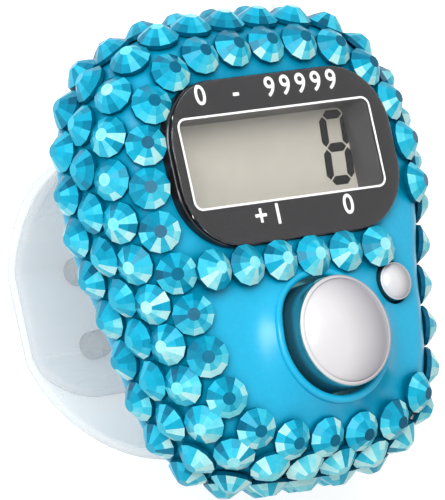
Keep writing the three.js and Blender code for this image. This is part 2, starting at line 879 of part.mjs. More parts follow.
// A closed strip of rectangular section through stations, each with its corner, side, up and half width
function strip(stations, closed) {
  const positions = [];
  for (const { base, side, up, half } of stations) {
    for (const [across, rise] of [[-1, 0], [1, 0], [1, 1], [-1, 1]]) {
      const corner = base.clone().addScaledVector(side, across * half).addScaledVector(up, rise);
      positions.push(corner.x, corner.y, corner.z);
    }
  }
  const count = stations.length;
  const faces = [];
  for (let i = 0; i < (closed ? count : count - 1); i += 1) {
    const a = i * 4;
    const b = ((i + 1) % count) * 4;
    for (let k = 0; k < 4; k += 1) {
      const m = (k + 1) % 4;
      faces.push(a + k, a + m, b + m, a + k, b + m, b + k);
    }
  }
  if (!closed) {
    const e = (count - 1) * 4;
    faces.push(0, 2, 1, 0, 3, 2, e, e + 1, e + 2, e, e + 2, e + 3);
  }
  const geometry = new THREE.BufferGeometry();
  geometry.setAttribute("position", new THREE.Float32BufferAttribute(positions, 3));
  geometry.setIndex(faces);
  return solidOf(geometry);
}

// A length of strap; lift is how far it lies inside the loop's outer side
function strapRun(from, to, lift, halfWidth, steps) {
  const stations = [];
  for (let i = 0; i <= steps; i += 1) {
    const distance = from + ((to - from) * i) / steps;
    const { point, inward } = loopStation(distance);
    const start = point.clone().addScaledVector(inward, lift(distance));
    stations.push({
      base: new THREE.Vector3(0, start.x, start.y),
      side: new THREE.Vector3(1, 0, 0),
      up: new THREE.Vector3(0, inward.x, inward.y).multiplyScalar(strapThickness),
      half: halfWidth(distance),
    });
  }
  return strip(stations, false);
}

// Half width of a strap whose free end is rounded off
function roundedTip(end, direction) {
  return (distance) => {
    const left = Math.max(0, (end - distance) * direction);
    const half = strapWidth / 2;
    if (left >= tipCornerRadius) {
      return half;
    }
    const drop = tipCornerRadius - left;
    return half - tipCornerRadius + Math.sqrt(Math.max(0, tipCornerRadius ** 2 - drop ** 2)) + 0.01;
  };
}

// The upper half starts on the loop's outer side and steps inside the lower half where they overlap
const innerLift = strapThickness + strapGap;
const lowerEnd = loopLength - lowerStrapLength;

function upperLift(distance) {
  const share = Math.min(1, Math.max(0, (distance - (lowerEnd - overlapLead - 1)) / overlapLead));
  return innerLift * share * share * (3 - 2 * share);
}

// Distance along the strap at which its finger side lies above y
function distanceAtBack(y) {
  let i = 1;
  while (i < loop.length - 1 && !(loop[i].x < y && loop[i].y < loopDepth / 3)) {
    i += 1;
  }
  return loopReach[i];
}

const pegPlaces = [pegMiddleY + pegPitch / 2, pegMiddleY - pegPitch / 2];
const firstPegDistance = distanceAtBack(pegPlaces[0]);
const flexDistance = firstPegDistance - flexLead;
const upperStrapLength = firstPegDistance + upperTail;

// Holes stand square to the strap, one pitch apart, with a spare one past each peg
function pegHoles(from, to) {
  let holes = null;
  for (const turn of [-1, 0, 1, 2]) {
    const distance = firstPegDistance + turn * pegPitch;
    if (distance < from || distance > to) {
      continue;
    }
    const { point, inward } = loopStation(distance);
    const geometry = new THREE.CylinderGeometry(pegHoleRadius, pegHoleRadius, pegCutLength, 16);
    geometry.rotateX(Math.atan2(inward.y, inward.x));
    geometry.translate(0, point.x + inward.x * pegCutLift, point.y + inward.y * pegCutLift);
    const hole = solidOf(geometry);
    holes = holes ? holes.add(hole) : hole;
  }
  return holes;
}

function upperStrap() {
  const plain = () => strapWidth / 2;
  let strap = strapRun(0, flexDistance - flexGap / 2, upperLift, plain, 18);
  strap = strap.subtract(pegHoles(0, flexDistance));
  strap = strap.add(anchorHead(upperRootY, -1));
  return piece("upper_strap", strap, clearSilicone);
}

function upperStrapEnd() {
  const half = roundedTip(upperStrapLength, 1);
  let strap = strapRun(flexDistance + flexGap / 2, upperStrapLength - tipCornerRadius, upperLift, half, 14);
  strap = strap.add(strapRun(upperStrapLength - tipCornerRadius, upperStrapLength, upperLift, half, 6));
  strap = strap.subtract(pegHoles(flexDistance, upperStrapLength));
  return piece("upper_strap_end", strap, clearSilicone);
}

function lowerStrap() {
  const half = roundedTip(lowerEnd, -1);
  const outside = () => 0;
  let strap = strapRun(lowerEnd + tipCornerRadius, loopLength, outside, half, 30);
  strap = strap.add(strapRun(lowerEnd, lowerEnd + tipCornerRadius, outside, half, 6));
  strap = strap.add(anchorHead(lowerRootY, 1));
  const headZ = 2 * strapThickness + strapGap + pegHeadRise;
  for (const y of pegPlaces) {
    const peg = turned(0, y, [
      [0, strapThickness / 2],
      [pegRadius, strapThickness / 2],
      [pegRadius, headZ - pegDomeRise],
      [pegRadius * 0.84, headZ - pegDomeRise * 0.45],
      [pegRadius * 0.5, headZ - pegDomeRise * 0.12],
      [0, headZ],
    ], 14);
    strap = strap.add(peg);
  }
  return piece("lower_strap", strap, clearSilicone);
}

// Crystals

// Scale and height on the body's side, by height above the back edge or by angle round the shoulder
function sidePlace(height) {
  return { scale: 1 - backDraft * (1 - height / sideHeight), z: coverInnerZ + height };
}

function shoulderPlace(degrees) {
  const angle = THREE.MathUtils.degToRad(degrees);
  return {
    scale: flatShare + (1 - flatShare) * Math.cos(angle),
    z: shoulderZ + shoulderHeight * Math.sin(angle),
  };
}

// A point of the body's skin, its outward direction and the direction along the ring
function skinFrame(points, index, { placeAt, levelAt, step }) {
  const count = points.length;
  const at = points[index % count];
  const level = levelAt(at);
  const [place, lower, higher] = [level, level - step, level + step].map(placeAt);
  const next = points[(index + 1) % count];
  const before = points[(index + count - 1) % count];
  const along = new THREE.Vector3(next.x - before.x, next.y - before.y, 0).normalize();
  const climb = new THREE.Vector3(
    (higher.scale - lower.scale) * at.x,
    (higher.scale - lower.scale) * at.y,
    higher.z - lower.z,
  );
  const out = along.clone().cross(climb).normalize();
  const point = new THREE.Vector3(place.scale * at.x, place.scale * at.y, place.z);
  return { point, out, across: out.clone().cross(along).normalize() };
}

// Corners of one crystal: its girdle, its table, and where the glue line meets two opposite sides
function crystalCorners(frame) {
  const along = new THREE.Vector3().crossVectors(frame.across, frame.out);
  const girdle = frame.point.clone().addScaledVector(frame.out, crystalGlueGap);
  const table = girdle.clone().addScaledVector(frame.out, crystalHeight);
  const corners = [];
  for (const [centre, radius] of [[girdle, crystalRadius], [table, crystalTableRadius]]) {
    for (let i = 0; i < crystalSides; i += 1) {
      const angle = (Math.PI * (2 * i - 1)) / crystalSides;
      const corner = centre.clone().addScaledVector(along, radius * Math.cos(angle));
      corners.push(corner.addScaledVector(frame.across, radius * Math.sin(angle)));
    }
  }
  const back = crystalSides / 2;
  for (const i of [0, 1, back, back + 1]) {
    const share = crystalGlueThickness / crystalHeight;
    corners.push(corners[i].clone().lerp(corners[i + crystalSides], share));
  }
  return corners;
}

// A string of crystals, each linked to the next by a low bridge of glue, as one closed body
function crystalString(frames, closed) {
  const positions = frames.flatMap((frame) => crystalCorners(frame).flatMap((c) => c.toArray()));
  const perCrystal = 2 * crystalSides + 4;
  const faces = [];
  frames.forEach((_, n) => {
    const own = crystalFaces(closed || n < frames.length - 1, closed || n > 0);
    faces.push(...own.map((corner) => corner + n * perCrystal));
    if (closed || n < frames.length - 1) {
      faces.push(...bridgeFaces(n * perCrystal, ((n + 1) % frames.length) * perCrystal));
    }
  });
  const geometry = new THREE.BufferGeometry();
  geometry.setAttribute("position", new THREE.Float32BufferAttribute(positions, 3));
  geometry.setIndex(faces);
  return geometry.toNonIndexed();
}

// Faces of one crystal; a side that a bridge of glue leaves from is open below the glue's top
function crystalFaces(bridgeAhead, bridgeBehind) {
  const n = crystalSides;
  const back = n / 2;
  const glue = { 0: 2 * n, 1: 2 * n + 1, [back]: 2 * n + 2, [back + 1]: 2 * n + 3 };
  const faces = [];
  for (let i = 1; i < n - 1; i += 1) {
    faces.push(0, i + 1, i, n, n + i, n + i + 1);
  }
  for (let i = 0; i < n; i += 1) {
    const j = (i + 1) % n;
    const [low, high] = [glue[i], glue[j]];
    if (low && high) {
      faces.push(low, high, n + j, low, n + j, n + i);
      if (i === 0 ? !bridgeAhead : !bridgeBehind) {
        faces.push(i, j, high, i, high, low);
      }
    } else if (low) {
      faces.push(i, j, low, low, j, n + j, low, n + j, n + i);
    } else if (high) {
      faces.push(i, j, high, i, high, n + i, high, n + j, n + i);
    } else {
      faces.push(i, j, n + j, i, n + j, n + i);
    }
  }
  return faces;
}

function bridgeFaces(a, b) {
  const n = crystalSides;
  const back = n / 2;
  const [a0, a1, a2, a3] = [a, a + 1, a + 2 * n, a + 2 * n + 1];
  const [b0, b1, b2, b3] = [b + back + 1, b + back, b + 2 * n + 3, b + 2 * n + 2];
  return [
    a0, b1, b0, a0, a1, b1,
    a2, b2, b3, a2, b3, a3,
    a0, b0, b2, a0, b2, a2,
    a1, a3, b3, a1, b3, b1,
  ];
}

// One ring of crystals round the body, on a course over its skin; keep says where the ring holds one
function crystalRing(name, count, phase, course, keep) {
  const points = outline(0, count * crystalPhaseSteps);
  const indices = Array.from({ length: count }, (_, i) => i * crystalPhaseSteps + phase);
  const held = indices.map((index) => keep(points[index % points.length]));
  const first = held.findIndex((here, i) => here && !held[(i + count - 1) % count]);
  const start = Math.max(0, first);
  const frames = [];
  for (let i = 0; i < count; i += 1) {
    const n = (start + i) % count;
    if (held[n]) {
      frames.push(skinFrame(points, indices[n], course));
    }
  }
  return piece(name, crystalString(frames, first < 0), cyanCrystal);
}

function crystalRings() {
  const all = () => true;
  const clearOfButtons = (p) => !(p.x > 5 && p.y < 0.5 && p.y > -15.5);
  const side = (height) => ({ placeAt: sidePlace, levelAt: () => height, step: 0.4 });
  const bend = (levelAt) => ({ placeAt: shoulderPlace, levelAt, step: 3 });
  const edge = bend((p) => crystalEdgeAngle + crystalEdgeEndLean * (p.y / bodyHalfHeight) ** 2);
  const front = bend((p) => crystalFrontAngle + crystalFrontTopLean * Math.max(0, p.y / bodyHalfHeight) ** 2);
  return [
    crystalRing("crystal_ring_back", 32, 4, side(crystalBackHeight), all),
    crystalRing("crystal_ring_side", 32, 1, side(crystalSideHeight), all),
    crystalRing("crystal_ring_edge", 32, 4, edge, all),
    crystalRing("crystal_ring_front", 28, 7, front, clearOfButtons),
  ];
}

// The straight row between the display and the buttons
function crystalMiddleRow() {
  const frames = [];
  for (let i = 0; i < middleRowCount; i += 1) {
    const x = middleRowX + i * middleRowPitch;
    frames.push({
      point: new THREE.Vector3(x, middleRowY, shellTopZ + 0.05),
      out: new THREE.Vector3(0, 0, 1),
      across: new THREE.Vector3(0, 1, 0),
    });
  }
  return piece("crystal_row_middle", crystalString(frames, false), cyanCrystal);
}

const counter = new THREE.Group();
counter.add(
  frontShell(),
  rearCover(),
  ...screwPlaces.map(([x, y], i) => caseScrew(i, x, y)),
  displayLens(),
  displayMask(),
  lcdFrame(),
  ...lcdGlasses(),
  lcdBacking(),
  zebraStrip(),
  circuitBoard(),
  chipBlob(),
  surfacePart("smd_capacitor", 1, capacitorSize, ceramic),
  surfacePart("smd_resistor", -1, resistorSize, blackPlastic),
  buttonCell(),
  negativeSpring(),
  positiveClip(),
  countButton(),
  resetButton(),
  rubberDome("count_dome", countX, countY, countDomeRadius, countDomeHeight, countPillRadius),
  rubberDome("reset_dome", resetX, resetY, resetDomeRadius, resetDomeHeight, resetPillRadius),
  carbonPill("count_carbon_pill", countX, countY, countDomeHeight, countPillRadius),
  carbonPill("reset_carbon_pill", resetX, resetY, resetDomeHeight, resetPillRadius),
  upperStrap(),
  upperStrapEnd(),
  lowerStrap(),
  ...crystalRings(),
  crystalMiddleRow(),
);

export default counter;
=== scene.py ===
# A digital tally counter worn on a finger, set with crystals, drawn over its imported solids.
# Shapes are worked out in millimetres and stored in metres. +Z runs out of the display's face.

import bpy
import numpy as np
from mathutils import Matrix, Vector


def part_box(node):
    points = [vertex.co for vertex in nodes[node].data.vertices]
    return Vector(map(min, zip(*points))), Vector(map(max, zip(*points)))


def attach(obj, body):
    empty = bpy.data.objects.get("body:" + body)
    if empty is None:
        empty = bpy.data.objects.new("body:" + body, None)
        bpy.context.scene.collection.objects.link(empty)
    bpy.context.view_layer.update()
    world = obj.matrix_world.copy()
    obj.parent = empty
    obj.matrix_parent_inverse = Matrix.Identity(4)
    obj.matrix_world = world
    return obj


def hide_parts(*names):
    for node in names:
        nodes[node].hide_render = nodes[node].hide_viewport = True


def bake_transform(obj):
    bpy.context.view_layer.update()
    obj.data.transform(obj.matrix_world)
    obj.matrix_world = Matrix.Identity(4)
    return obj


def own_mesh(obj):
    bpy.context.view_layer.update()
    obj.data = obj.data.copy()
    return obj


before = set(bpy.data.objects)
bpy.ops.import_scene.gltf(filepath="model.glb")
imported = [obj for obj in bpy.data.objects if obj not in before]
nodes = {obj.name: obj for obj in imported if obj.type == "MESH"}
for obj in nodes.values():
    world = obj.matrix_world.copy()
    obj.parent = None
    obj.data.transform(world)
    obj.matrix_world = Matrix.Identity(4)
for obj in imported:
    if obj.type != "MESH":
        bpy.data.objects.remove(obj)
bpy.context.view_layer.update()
MM = 0.001


# Rear cover
# A flat moulded ABS plate that closes the case on the finger's side. Two slots take the strap's roots,
# and four sunk holes take the case screws.

OUTLINE_EXPONENT = 3.4
OUTLINE_FINE_STEPS = 720
SHELL_COLUMNS = 384
HEAD_HALF_WIDTH = 16.15
FOOT_HALF_WIDTH = 13.8
WAIST_Y = -1.5
WAIST_LENGTH = 4.2
COVER_EDGE = 0.35
COVER_INSET = 0.9
COVER_THICKNESS = 1.4
COVER_CREASE = 0.08
COVER_COLUMNS = 192
CYAN_DEEP = "06B2DF"
CYAN_LIGHT = "0CC0EC"


def box_mm(name):
    """Lowest and highest corner of a CAD node, in millimetres."""
    low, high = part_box(name)
    return np.array(low) / MM, np.array(high) / MM


shell_low, shell_high = box_mm("front_shell")
cover_low, cover_high = box_mm("rear_cover")
HALF_HEIGHT = shell_high[1]


def half_width(y):
    """Half the body's width at y: a tanh step from the foot's width to the head's."""
    middle = (HEAD_HALF_WIDTH + FOOT_HALF_WIDTH) / 2
    swing = (HEAD_HALF_WIDTH - FOOT_HALF_WIDTH) / 2
    return middle + swing * np.tanh((y - WAIST_Y) / WAIST_LENGTH)


def body_outline(inset, columns):
    """Superellipse y = h sin^(2/n), x = w(y) cos^(2/n), walked round in even steps of its own length."""
    turn = 2 * np.pi * np.arange(OUTLINE_FINE_STEPS + 1) / OUTLINE_FINE_STEPS
    root = lambda v: np.sign(v) * np.abs(v) ** (2 / OUTLINE_EXPONENT)
    y = (HALF_HEIGHT - inset) * root(np.sin(turn))
    x = (half_width(y) - inset) * root(np.cos(turn))
    reach = np.concatenate([[0], np.cumsum(np.hypot(np.diff(x), np.diff(y)))])
    at = reach[-1] * np.arange(columns) / columns
    return np.stack([np.interp(at, reach, x), np.interp(at, reach, y)], axis=-1)


def grid_faces(rows, columns, wrap_rows=False):
    """Quads between neighbours of a grid of points whose columns, and rows where asked, close round."""
    index = np.arange(rows * columns).reshape(rows, columns)
    index = np.hstack([index, index[:, :1]])
    if wrap_rows:
        index = np.vstack([index, index[:1]])
    corners = [index[:-1, :-1], index[:-1, 1:], index[1:, 1:], index[1:, :-1]]
    return np.stack(corners, axis=-1).reshape(-1, 4)


def tube(rows):
    """A solid through rows of points, closed by drawing its first and last rows in to their middles."""
    ends = [np.broadcast_to(row.mean(axis=0), row.shape) for row in (rows[0], rows[-1])]
    points = np.stack([ends[0], *rows, ends[1]])
    return points.reshape(-1, 3), grid_faces(len(points), len(rows[0]))


def stacked(outlines, heights):
    """A tube through outlines laid over each other: row i is outline i at height i."""
    return tube([np.column_stack([line, np.full(len(line), z)]) for line, z in zip(outlines, heights)])


def joined(*solids):
    """Several solids as one list of points and one of faces, each solid's indices moved past the last."""
    counts = np.cumsum([0] + [len(points) for points, _ in solids[:-1]])
    points = np.concatenate([points for points, _ in solids])
    return points, np.concatenate([faces + first for (_, faces), first in zip(solids, counts)])


def show(name, data):
    """A new object in the scene."""
    piece = bpy.data.objects.new(name, data)
    bpy.context.scene.collection.objects.link(piece)
    return piece


def add_mesh(name, solid, sharp=35.0, tones=None):
    """A mesh object from points in millimetres and quads. Points that coincide are welded, which closes
    seams and poles, and a quad with a repeated corner becomes a triangle. Edges bent by more than sharp
    degrees stay crisp."""
    points, faces = solid
    _, first, merged = np.unique(np.round(points * 1e4).astype(np.int64), axis=0,
                                 return_index=True, return_inverse=True)
    faces = merged.reshape(-1)[faces]
    kept = faces != np.roll(faces, -1, axis=1)
    whole = kept.sum(axis=1) > 2
    faces, kept = faces[whole], kept[whole]
    sides = kept.sum(axis=1)
    mesh = bpy.data.meshes.new(name)
    mesh.vertices.add(len(first))
    mesh.vertices.foreach_set("co", (points[first] * MM).ravel())
    mesh.loops.add(int(sides.sum()))
    mesh.loops.foreach_set("vertex_index", faces[kept].astype(np.int32))
    mesh.polygons.add(len(sides))
    mesh.polygons.foreach_set("loop_start", (np.cumsum(sides) - sides).astype(np.int32))
    mesh.polygons.foreach_set("use_smooth", np.full(len(sides), sharp > 0))
    mesh.update(calc_edges=True)
    mesh.validate()
    if sharp > 0:
        mesh.set_sharp_from_angle(angle=np.radians(sharp))
    if tones is not None:
        tone = mesh.attributes.new("tone", "FLOAT", "FACE")
        tone.data.foreach_set("value", tones[whole].astype(np.float32))
    return show(name, mesh)


def cut(piece, *solids):
    """Takes solids out of a piece, and keeps the result as its mesh."""
    for number, solid in enumerate(solids):
        tool = add_mesh(f"{piece.name}_cut_{number}", solid)
        step = piece.modifiers.new("cut", "BOOLEAN")
        step.operation = "DIFFERENCE"
        step.solver = "EXACT"
        step.object = tool
        shown = piece.evaluated_get(bpy.context.evaluated_depsgraph_get())
        mesh = bpy.data.meshes.new_from_object(shown)
        piece.modifiers.clear()
        piece.data = mesh
        bpy.data.objects.remove(tool)


def rounded_rectangle(width, height, radius, middle=(0, 0), steps=24):
    """Counter-clockwise outline of a rectangle whose corners are quarter circles."""
    quarter = np.linspace(0, np.pi / 2, steps)
    turn = np.concatenate([quarter - np.pi / 2, quarter, quarter + np.pi / 2, quarter + np.pi])
    side = np.repeat([[1, -1], [1, 1], [-1, 1], [-1, -1]], steps, axis=0)
    corner = side * (np.array([width, height]) / 2 - radius)
    return np.array(middle) + corner + radius * np.stack([np.cos(turn), np.sin(turn)], axis=-1)


def carried_round(radius, height, middle, closed=False):
    """Rows of radii and heights carried round an upright axis: x = r cos t, y = r sin t."""
    turn = 2 * np.pi * np.arange(radius.shape[1]) / radius.shape[1]
    points = np.stack([middle[0] + radius * np.cos(turn), middle[1] + radius * np.sin(turn), height], axis=-1)
    return points.reshape(-1, 3), grid_faces(*radius.shape, wrap_rows=closed)


def turned(profile, middle, columns, closed=False):
    """One profile of radii and heights, the same all round."""
    return carried_round(*np.repeat(np.array(profile, float).T[:, :, None], columns, axis=2), middle, closed)


def rod(middle, radius, low, high, columns):
    """An upright round bar."""
    return turned([(0, low), (radius, low), (radius, high), (0, high)], middle, columns)


def colour(code):
    """An sRGB hex colour as linear values: c / 12.92 in the dark end, ((c + 0.055) / 1.055)^2.4 above."""
    srgb = np.array([int(code[i:i + 2], 16) for i in (0, 2, 4)]) / 255
    linear = np.where(srgb <= 0.04045, srgb / 12.92, ((srgb + 0.055) / 1.055) ** 2.4)
    return (*linear.tolist(), 1.0)


def add_node(tree, kind, sockets=None, **settings):
    """Adds a node, with its settings, and with each socket's value or the output that it is linked to."""
    made = tree.nodes.new(kind)
    for name, value in settings.items():
        setattr(made, name, value)
    for socket, value in (sockets or {}).items():
        if isinstance(value, bpy.types.NodeSocket):
            tree.links.new(value, made.inputs[socket])
        else:
            made.inputs[socket].default_value = value
    return made


def start_material(name):
    """An empty node material."""
    material = bpy.data.materials.new(name)
    material.use_nodes = True
    material.node_tree.nodes.clear()
    return material, material.node_tree


def grained(name, low, high, grain_mm, relief_mm, shader):
    """A material whose colour drifts between two shades with noise of a real grain size, and whose
    surface rises and falls with that noise by its relief. shader holds what is the same all over."""
    material, tree = start_material(name)
    place = add_node(tree, "ShaderNodeTexCoord")
    grain = add_node(tree, "ShaderNodeTexNoise", {"Vector": place.outputs["Object"],
                                                  "Scale": 1 / (grain_mm * MM), "Detail": 3.0})
    shade = add_node(tree, "ShaderNodeMix", {0: grain.outputs["Fac"], 6: colour(low), 7: colour(high)},
                     data_type="RGBA")
    bump = add_node(tree, "ShaderNodeBump", {"Height": grain.outputs["Fac"], "Distance": relief_mm * MM})
    surface = add_node(tree, "ShaderNodeBsdfPrincipled", {"Base Color": shade.outputs[2],
                                                          "Normal": bump.outputs["Normal"], **shader})
    add_node(tree, "ShaderNodeOutputMaterial", {"Surface": surface.outputs["BSDF"]})
    return material


def dress(material, *pieces):
    """Gives pieces their one material."""
    for piece in pieces:
        piece.data.materials.clear()
        piece.data.materials.append(material)


def place(piece, material, slot, *replaced, body="counter_body"):
    """Gives a new piece its material, its body and the CAD nodes that it stands for. Its record slot is not
    used.
    """
    dress(material, piece)
    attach(piece, body)
    if replaced:
        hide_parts(*replaced)


# Cyan ABS, injection moulded in a lightly sparked tool: a soft gloss, with a grain of about a third of
# a millimetre that only breaks up the highlights.
cyan_abs = grained("moulded_cyan_abs", CYAN_DEEP, CYAN_LIGHT, 0.35, 0.004,
                   {"Roughness": 0.3, "IOR": 1.53, "Specular IOR Level": 0.5})

STRAP_WIDTH = 14.5
STRAP_THICKNESS = 0.9
SLOT_GAP = 0.3
SLOT_CORNER = 0.3
UPPER_ROOT_Y = box_mm("upper_strap")[1][1] - STRAP_THICKNESS / 2
LOWER_ROOT_Y = box_mm("lower_strap")[0][1] + STRAP_THICKNESS / 2
SCREW_HEAD_RADIUS = 1.5
SCREW_SINK = 1.0
SINK_GAP = 0.3
SCREW_NODES = [f"case_screw_{number}" for number in range(1, 5)]
screw_places = [tuple(sum(box_mm(name))[:2] / 2) for name in SCREW_NODES]

cover_insets = COVER_INSET + np.array([COVER_EDGE, 0.3 * COVER_EDGE, 0.0, 0.0, 0.05])
cover_rises = np.array([0.0, 0.3 * COVER_EDGE, COVER_EDGE, COVER_THICKNESS - COVER_CREASE, COVER_THICKNESS])
cover_lines = [body_outline(inset, COVER_COLUMNS) for inset in cover_insets]
rear_cover = add_mesh("rear_cover_plate", stacked(cover_lines, cover_low[2] + cover_rises))
slot_size = STRAP_WIDTH + 2 * SLOT_GAP, STRAP_THICKNESS + 2 * SLOT_GAP
slot_lines = [rounded_rectangle(*slot_size, SLOT_CORNER, (0, y), 4) for y in (UPPER_ROOT_Y, LOWER_ROOT_Y)]
slots = [stacked([line, line], [cover_low[2] - 1, cover_low[2] + 3]) for line in slot_lines]
sink_radius = SCREW_HEAD_RADIUS + SINK_GAP
sinks = [rod(spot, sink_radius, cover_low[2] - 1, cover_low[2] + SCREW_SINK, 40) for spot in screw_places]
cut(rear_cover, *slots, *sinks)
place(rear_cover, cyan_abs, "cyan_abs", "rear_cover")


# Button cell and its contacts
# A small nickel-plated lithium cell lies in a cup on the cover. A spring leaf under it and a clip over
# it, both stamped from steel strip, carry its current to the board.

# Nickel-plated steel, drawn and stamped: bright, with rolling marks a fraction of a millimetre apart.
nickel_steel = grained("drawn_nickel_steel", "B9BBBD", "D2D4D6", 0.25, 0.003,
                       {"Metallic": 1.0, "Roughness": 0.28})
spring_steel = grained("stamped_spring_steel", "A8A9AA", "C4C5C6", 0.18, 0.004,
                       {"Metallic": 1.0, "Roughness": 0.36})
dress(nickel_steel, nodes["button_cell"])
dress(spring_steel, nodes["battery_negative_spring"], nodes["battery_positive_clip"])


# Circuit board
# Glass-fibre laminate under a green lacquer. The bare chip lies under a blob of black epoxy on its back,
# with two small soldered parts beside it.

# Woven glass shows faintly through the lacquer, about half a millimetre from thread to thread.
green_laminate = grained("lacquered_green_laminate", "1C5A38", "2A7A4C", 0.5, 0.006,
                         {"Roughness": 0.35, "IOR": 1.5, "Coat Weight": 0.4, "Coat Roughness": 0.1})
black_epoxy = grained("poured_black_epoxy", "0E0E0F", "1B1B1D", 0.9, 0.03, {"Roughness": 0.22, "IOR": 1.55})
fired_ceramic = grained("fired_brown_ceramic", "8E6A42", "B58C5E", 0.15, 0.004, {"Roughness": 0.5})
carbon_rubber = grained("carbon_filled_rubber", "141414", "232323", 0.12, 0.006, {"Roughness": 0.7})
dress(green_laminate, nodes["circuit_board"])
dress(black_epoxy, nodes["chip_blob"], nodes["smd_resistor"])
dress(fired_ceramic, nodes["smd_capacitor"])


# Display module
# Two thin glasses with liquid crystal between them stand on foam, pressed to a strip of carbon rubber
# that joins their contacts to the board's, and a black frame holds them down.

DIGIT_HEIGHT = 6.5
DIGIT_WIDTH = 3.05
DIGIT_BAR = 0.78
DIGIT_SLANT = 0.09
DIGIT_GAP = 0.11
DIGIT_SPOT = (8.25, 7.4)
DIGIT_LIFT = 0.02

# Open-cell foam, and black ABS with a satin tool finish.
grey_foam = grained("open_cell_foam", "6F6F6F", "9A9A9A", 0.3, 0.06, {"Roughness": 0.95})
black_abs = grained("satin_black_abs", "2B2A2C", "39373A", 0.3, 0.004, {"Roughness": 0.42, "IOR": 1.53})
clear_glass = grained("polished_rear_glass", "A9ADA8", "B3B7B1", 2.0, 0.001, {"Roughness": 0.08, "IOR": 1.52})
dress(grey_foam, nodes["lcd_foam_pad"])
dress(carbon_rubber, nodes["zebra_strip"])
dress(black_abs, nodes["lcd_frame"])
dress(clear_glass, nodes["lcd_rear_glass"])

# The glass's face is a warm grey polarising film over a brushed reflector, with a faint drift.
polariser = grained("warm_grey_polariser_film", "9C978C", "A8A398", 1.5, 0.0005,
                    {"Roughness": 0.3, "IOR": 1.5, "Coat Weight": 0.2, "Coat Roughness": 0.05})
dress(polariser, nodes["lcd_front_glass"])


def digit_bars(middle, top_z):
    """The seven bars of one digit: each is a six-sided strip with pointed ends, a gap short of the corner
    where two bars would meet, leant over by the slant x += slant times y."""
    half_bar = DIGIT_BAR / 2
    half_high, half_wide = DIGIT_HEIGHT / 4 - DIGIT_BAR / 4, DIGIT_WIDTH / 2 - half_bar
    centres = [(0, 2), (0, 0), (0, -2), (-1, 1), (1, 1), (-1, -1), (1, -1)]
    bars = []
    for column, row in centres:
        upright = column != 0
        reach = (half_high if upright else half_wide) - DIGIT_GAP
        near = reach - half_bar
        line = np.array([(-reach, 0), (-near, -half_bar), (near, -half_bar),
                         (reach, 0), (near, half_bar), (-near, half_bar)])
        line = np.stack([-line[:, 1], line[:, 0]], axis=-1) if upright else line
        line = line + (column * half_wide, row * half_high)
        line[:, 0] += DIGIT_SLANT * line[:, 1]
        bars.append(stacked([line + middle] * 2, [top_z, top_z + DIGIT_LIFT]))
    return joined(*bars)


glass_top_z = box_mm("lcd_front_glass")[1][2]
digit = add_mesh("lcd_digit", digit_bars(DIGIT_SPOT, glass_top_z))
# Switched liquid crystal: near black, and without a gloss of its own, because it lies in the glass.
dark_crystal = grained("switched_liquid_crystal", "040405", "09090A", 0.4, 0.0005,
                      {"Roughness": 0.5, "Specular IOR Level": 0.0})
place(digit, dark_crystal, "display_glass")


# Rubber domes
# One moulded silicone dome under each button, with a carbon pill that bridges the board's contacts. The
# thin cone collapses under the pressed key, and the pill goes down with it.

DOME_CAP = 0.9
DOME_WALL = 0.6
DOME_FOOT = 0.45
DOME_EDGE = 0.3
PILL_SEAT = 0.15

# Silicone rubber with a satin skin lets light in to about a millimetre.
milky_silicone = grained("moulded_milky_silicone", "CFD3D2", "E2E5E4", 0.4, 0.006, {
    "Roughness": 0.5, "IOR": 1.41, "Subsurface Weight": 0.3, "Subsurface Radius": (0.001,) * 3})


def key_dome(name):
    """A dome and its pill, built to their nodes' boxes."""
    low, high = box_mm(name + "_dome")
    pill_low, pill_high = box_mm(name + "_carbon_pill")
    spot = (low + high)[:2] / 2
    radius, pill_radius = (high - low)[0] / 2, (pill_high - pill_low)[0] / 2
    inside, rim = radius - DOME_WALL, pill_radius + DOME_FOOT
    foot_z, cap_z, top_z = low[2] + DOME_FOOT, high[2] - DOME_CAP, high[2]
    profile = [(0, cap_z), (pill_radius + PILL_SEAT, cap_z), (inside, foot_z), (inside, low[2]),
               (radius, low[2]), (radius, foot_z), (rim, top_z - DOME_EDGE), (rim, top_z), (0, top_z)]
    dome = add_mesh(name + "_key_dome", turned(profile, spot, 64))
    pill = add_mesh(name + "_key_pill", rod(spot, pill_radius, pill_low[2], pill_high[2], 48))
    for piece in (dome, pill):
        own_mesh(piece)
    place(dome, milky_silicone, "milky_silicone", name + "_dome")
    place(pill, carbon_rubber, "carbon_rubber", name + "_carbon_pill")


key_dome("count")
key_dome("reset")


# Count and reset buttons
# Moulded ABS caps with a vacuum-silvered and pearl-lacquered face. A flange under the shell holds each
# one in its well.

COUNT_SPOT = tuple(sum(box_mm("count_button"))[:2] / 2)
COUNT_RADIUS = 4.8
RESET_SPOT = (9.0, -5.1)
RESET_RADIUS = 1.65
COUNT_DOME_RISE = 1.35
RESET_DOME_RISE = 0.6
COUNT_SIDE_DROP = 1.5
RESET_SIDE_DROP = 0.7
CAP_HOLLOW = 1.2
STEM_RADIUS = 1.6
FLANGE_SPAN = (0.9, 1.8)
count_low, count_high = box_mm("count_button")
reset_low, reset_high = box_mm("reset_button")


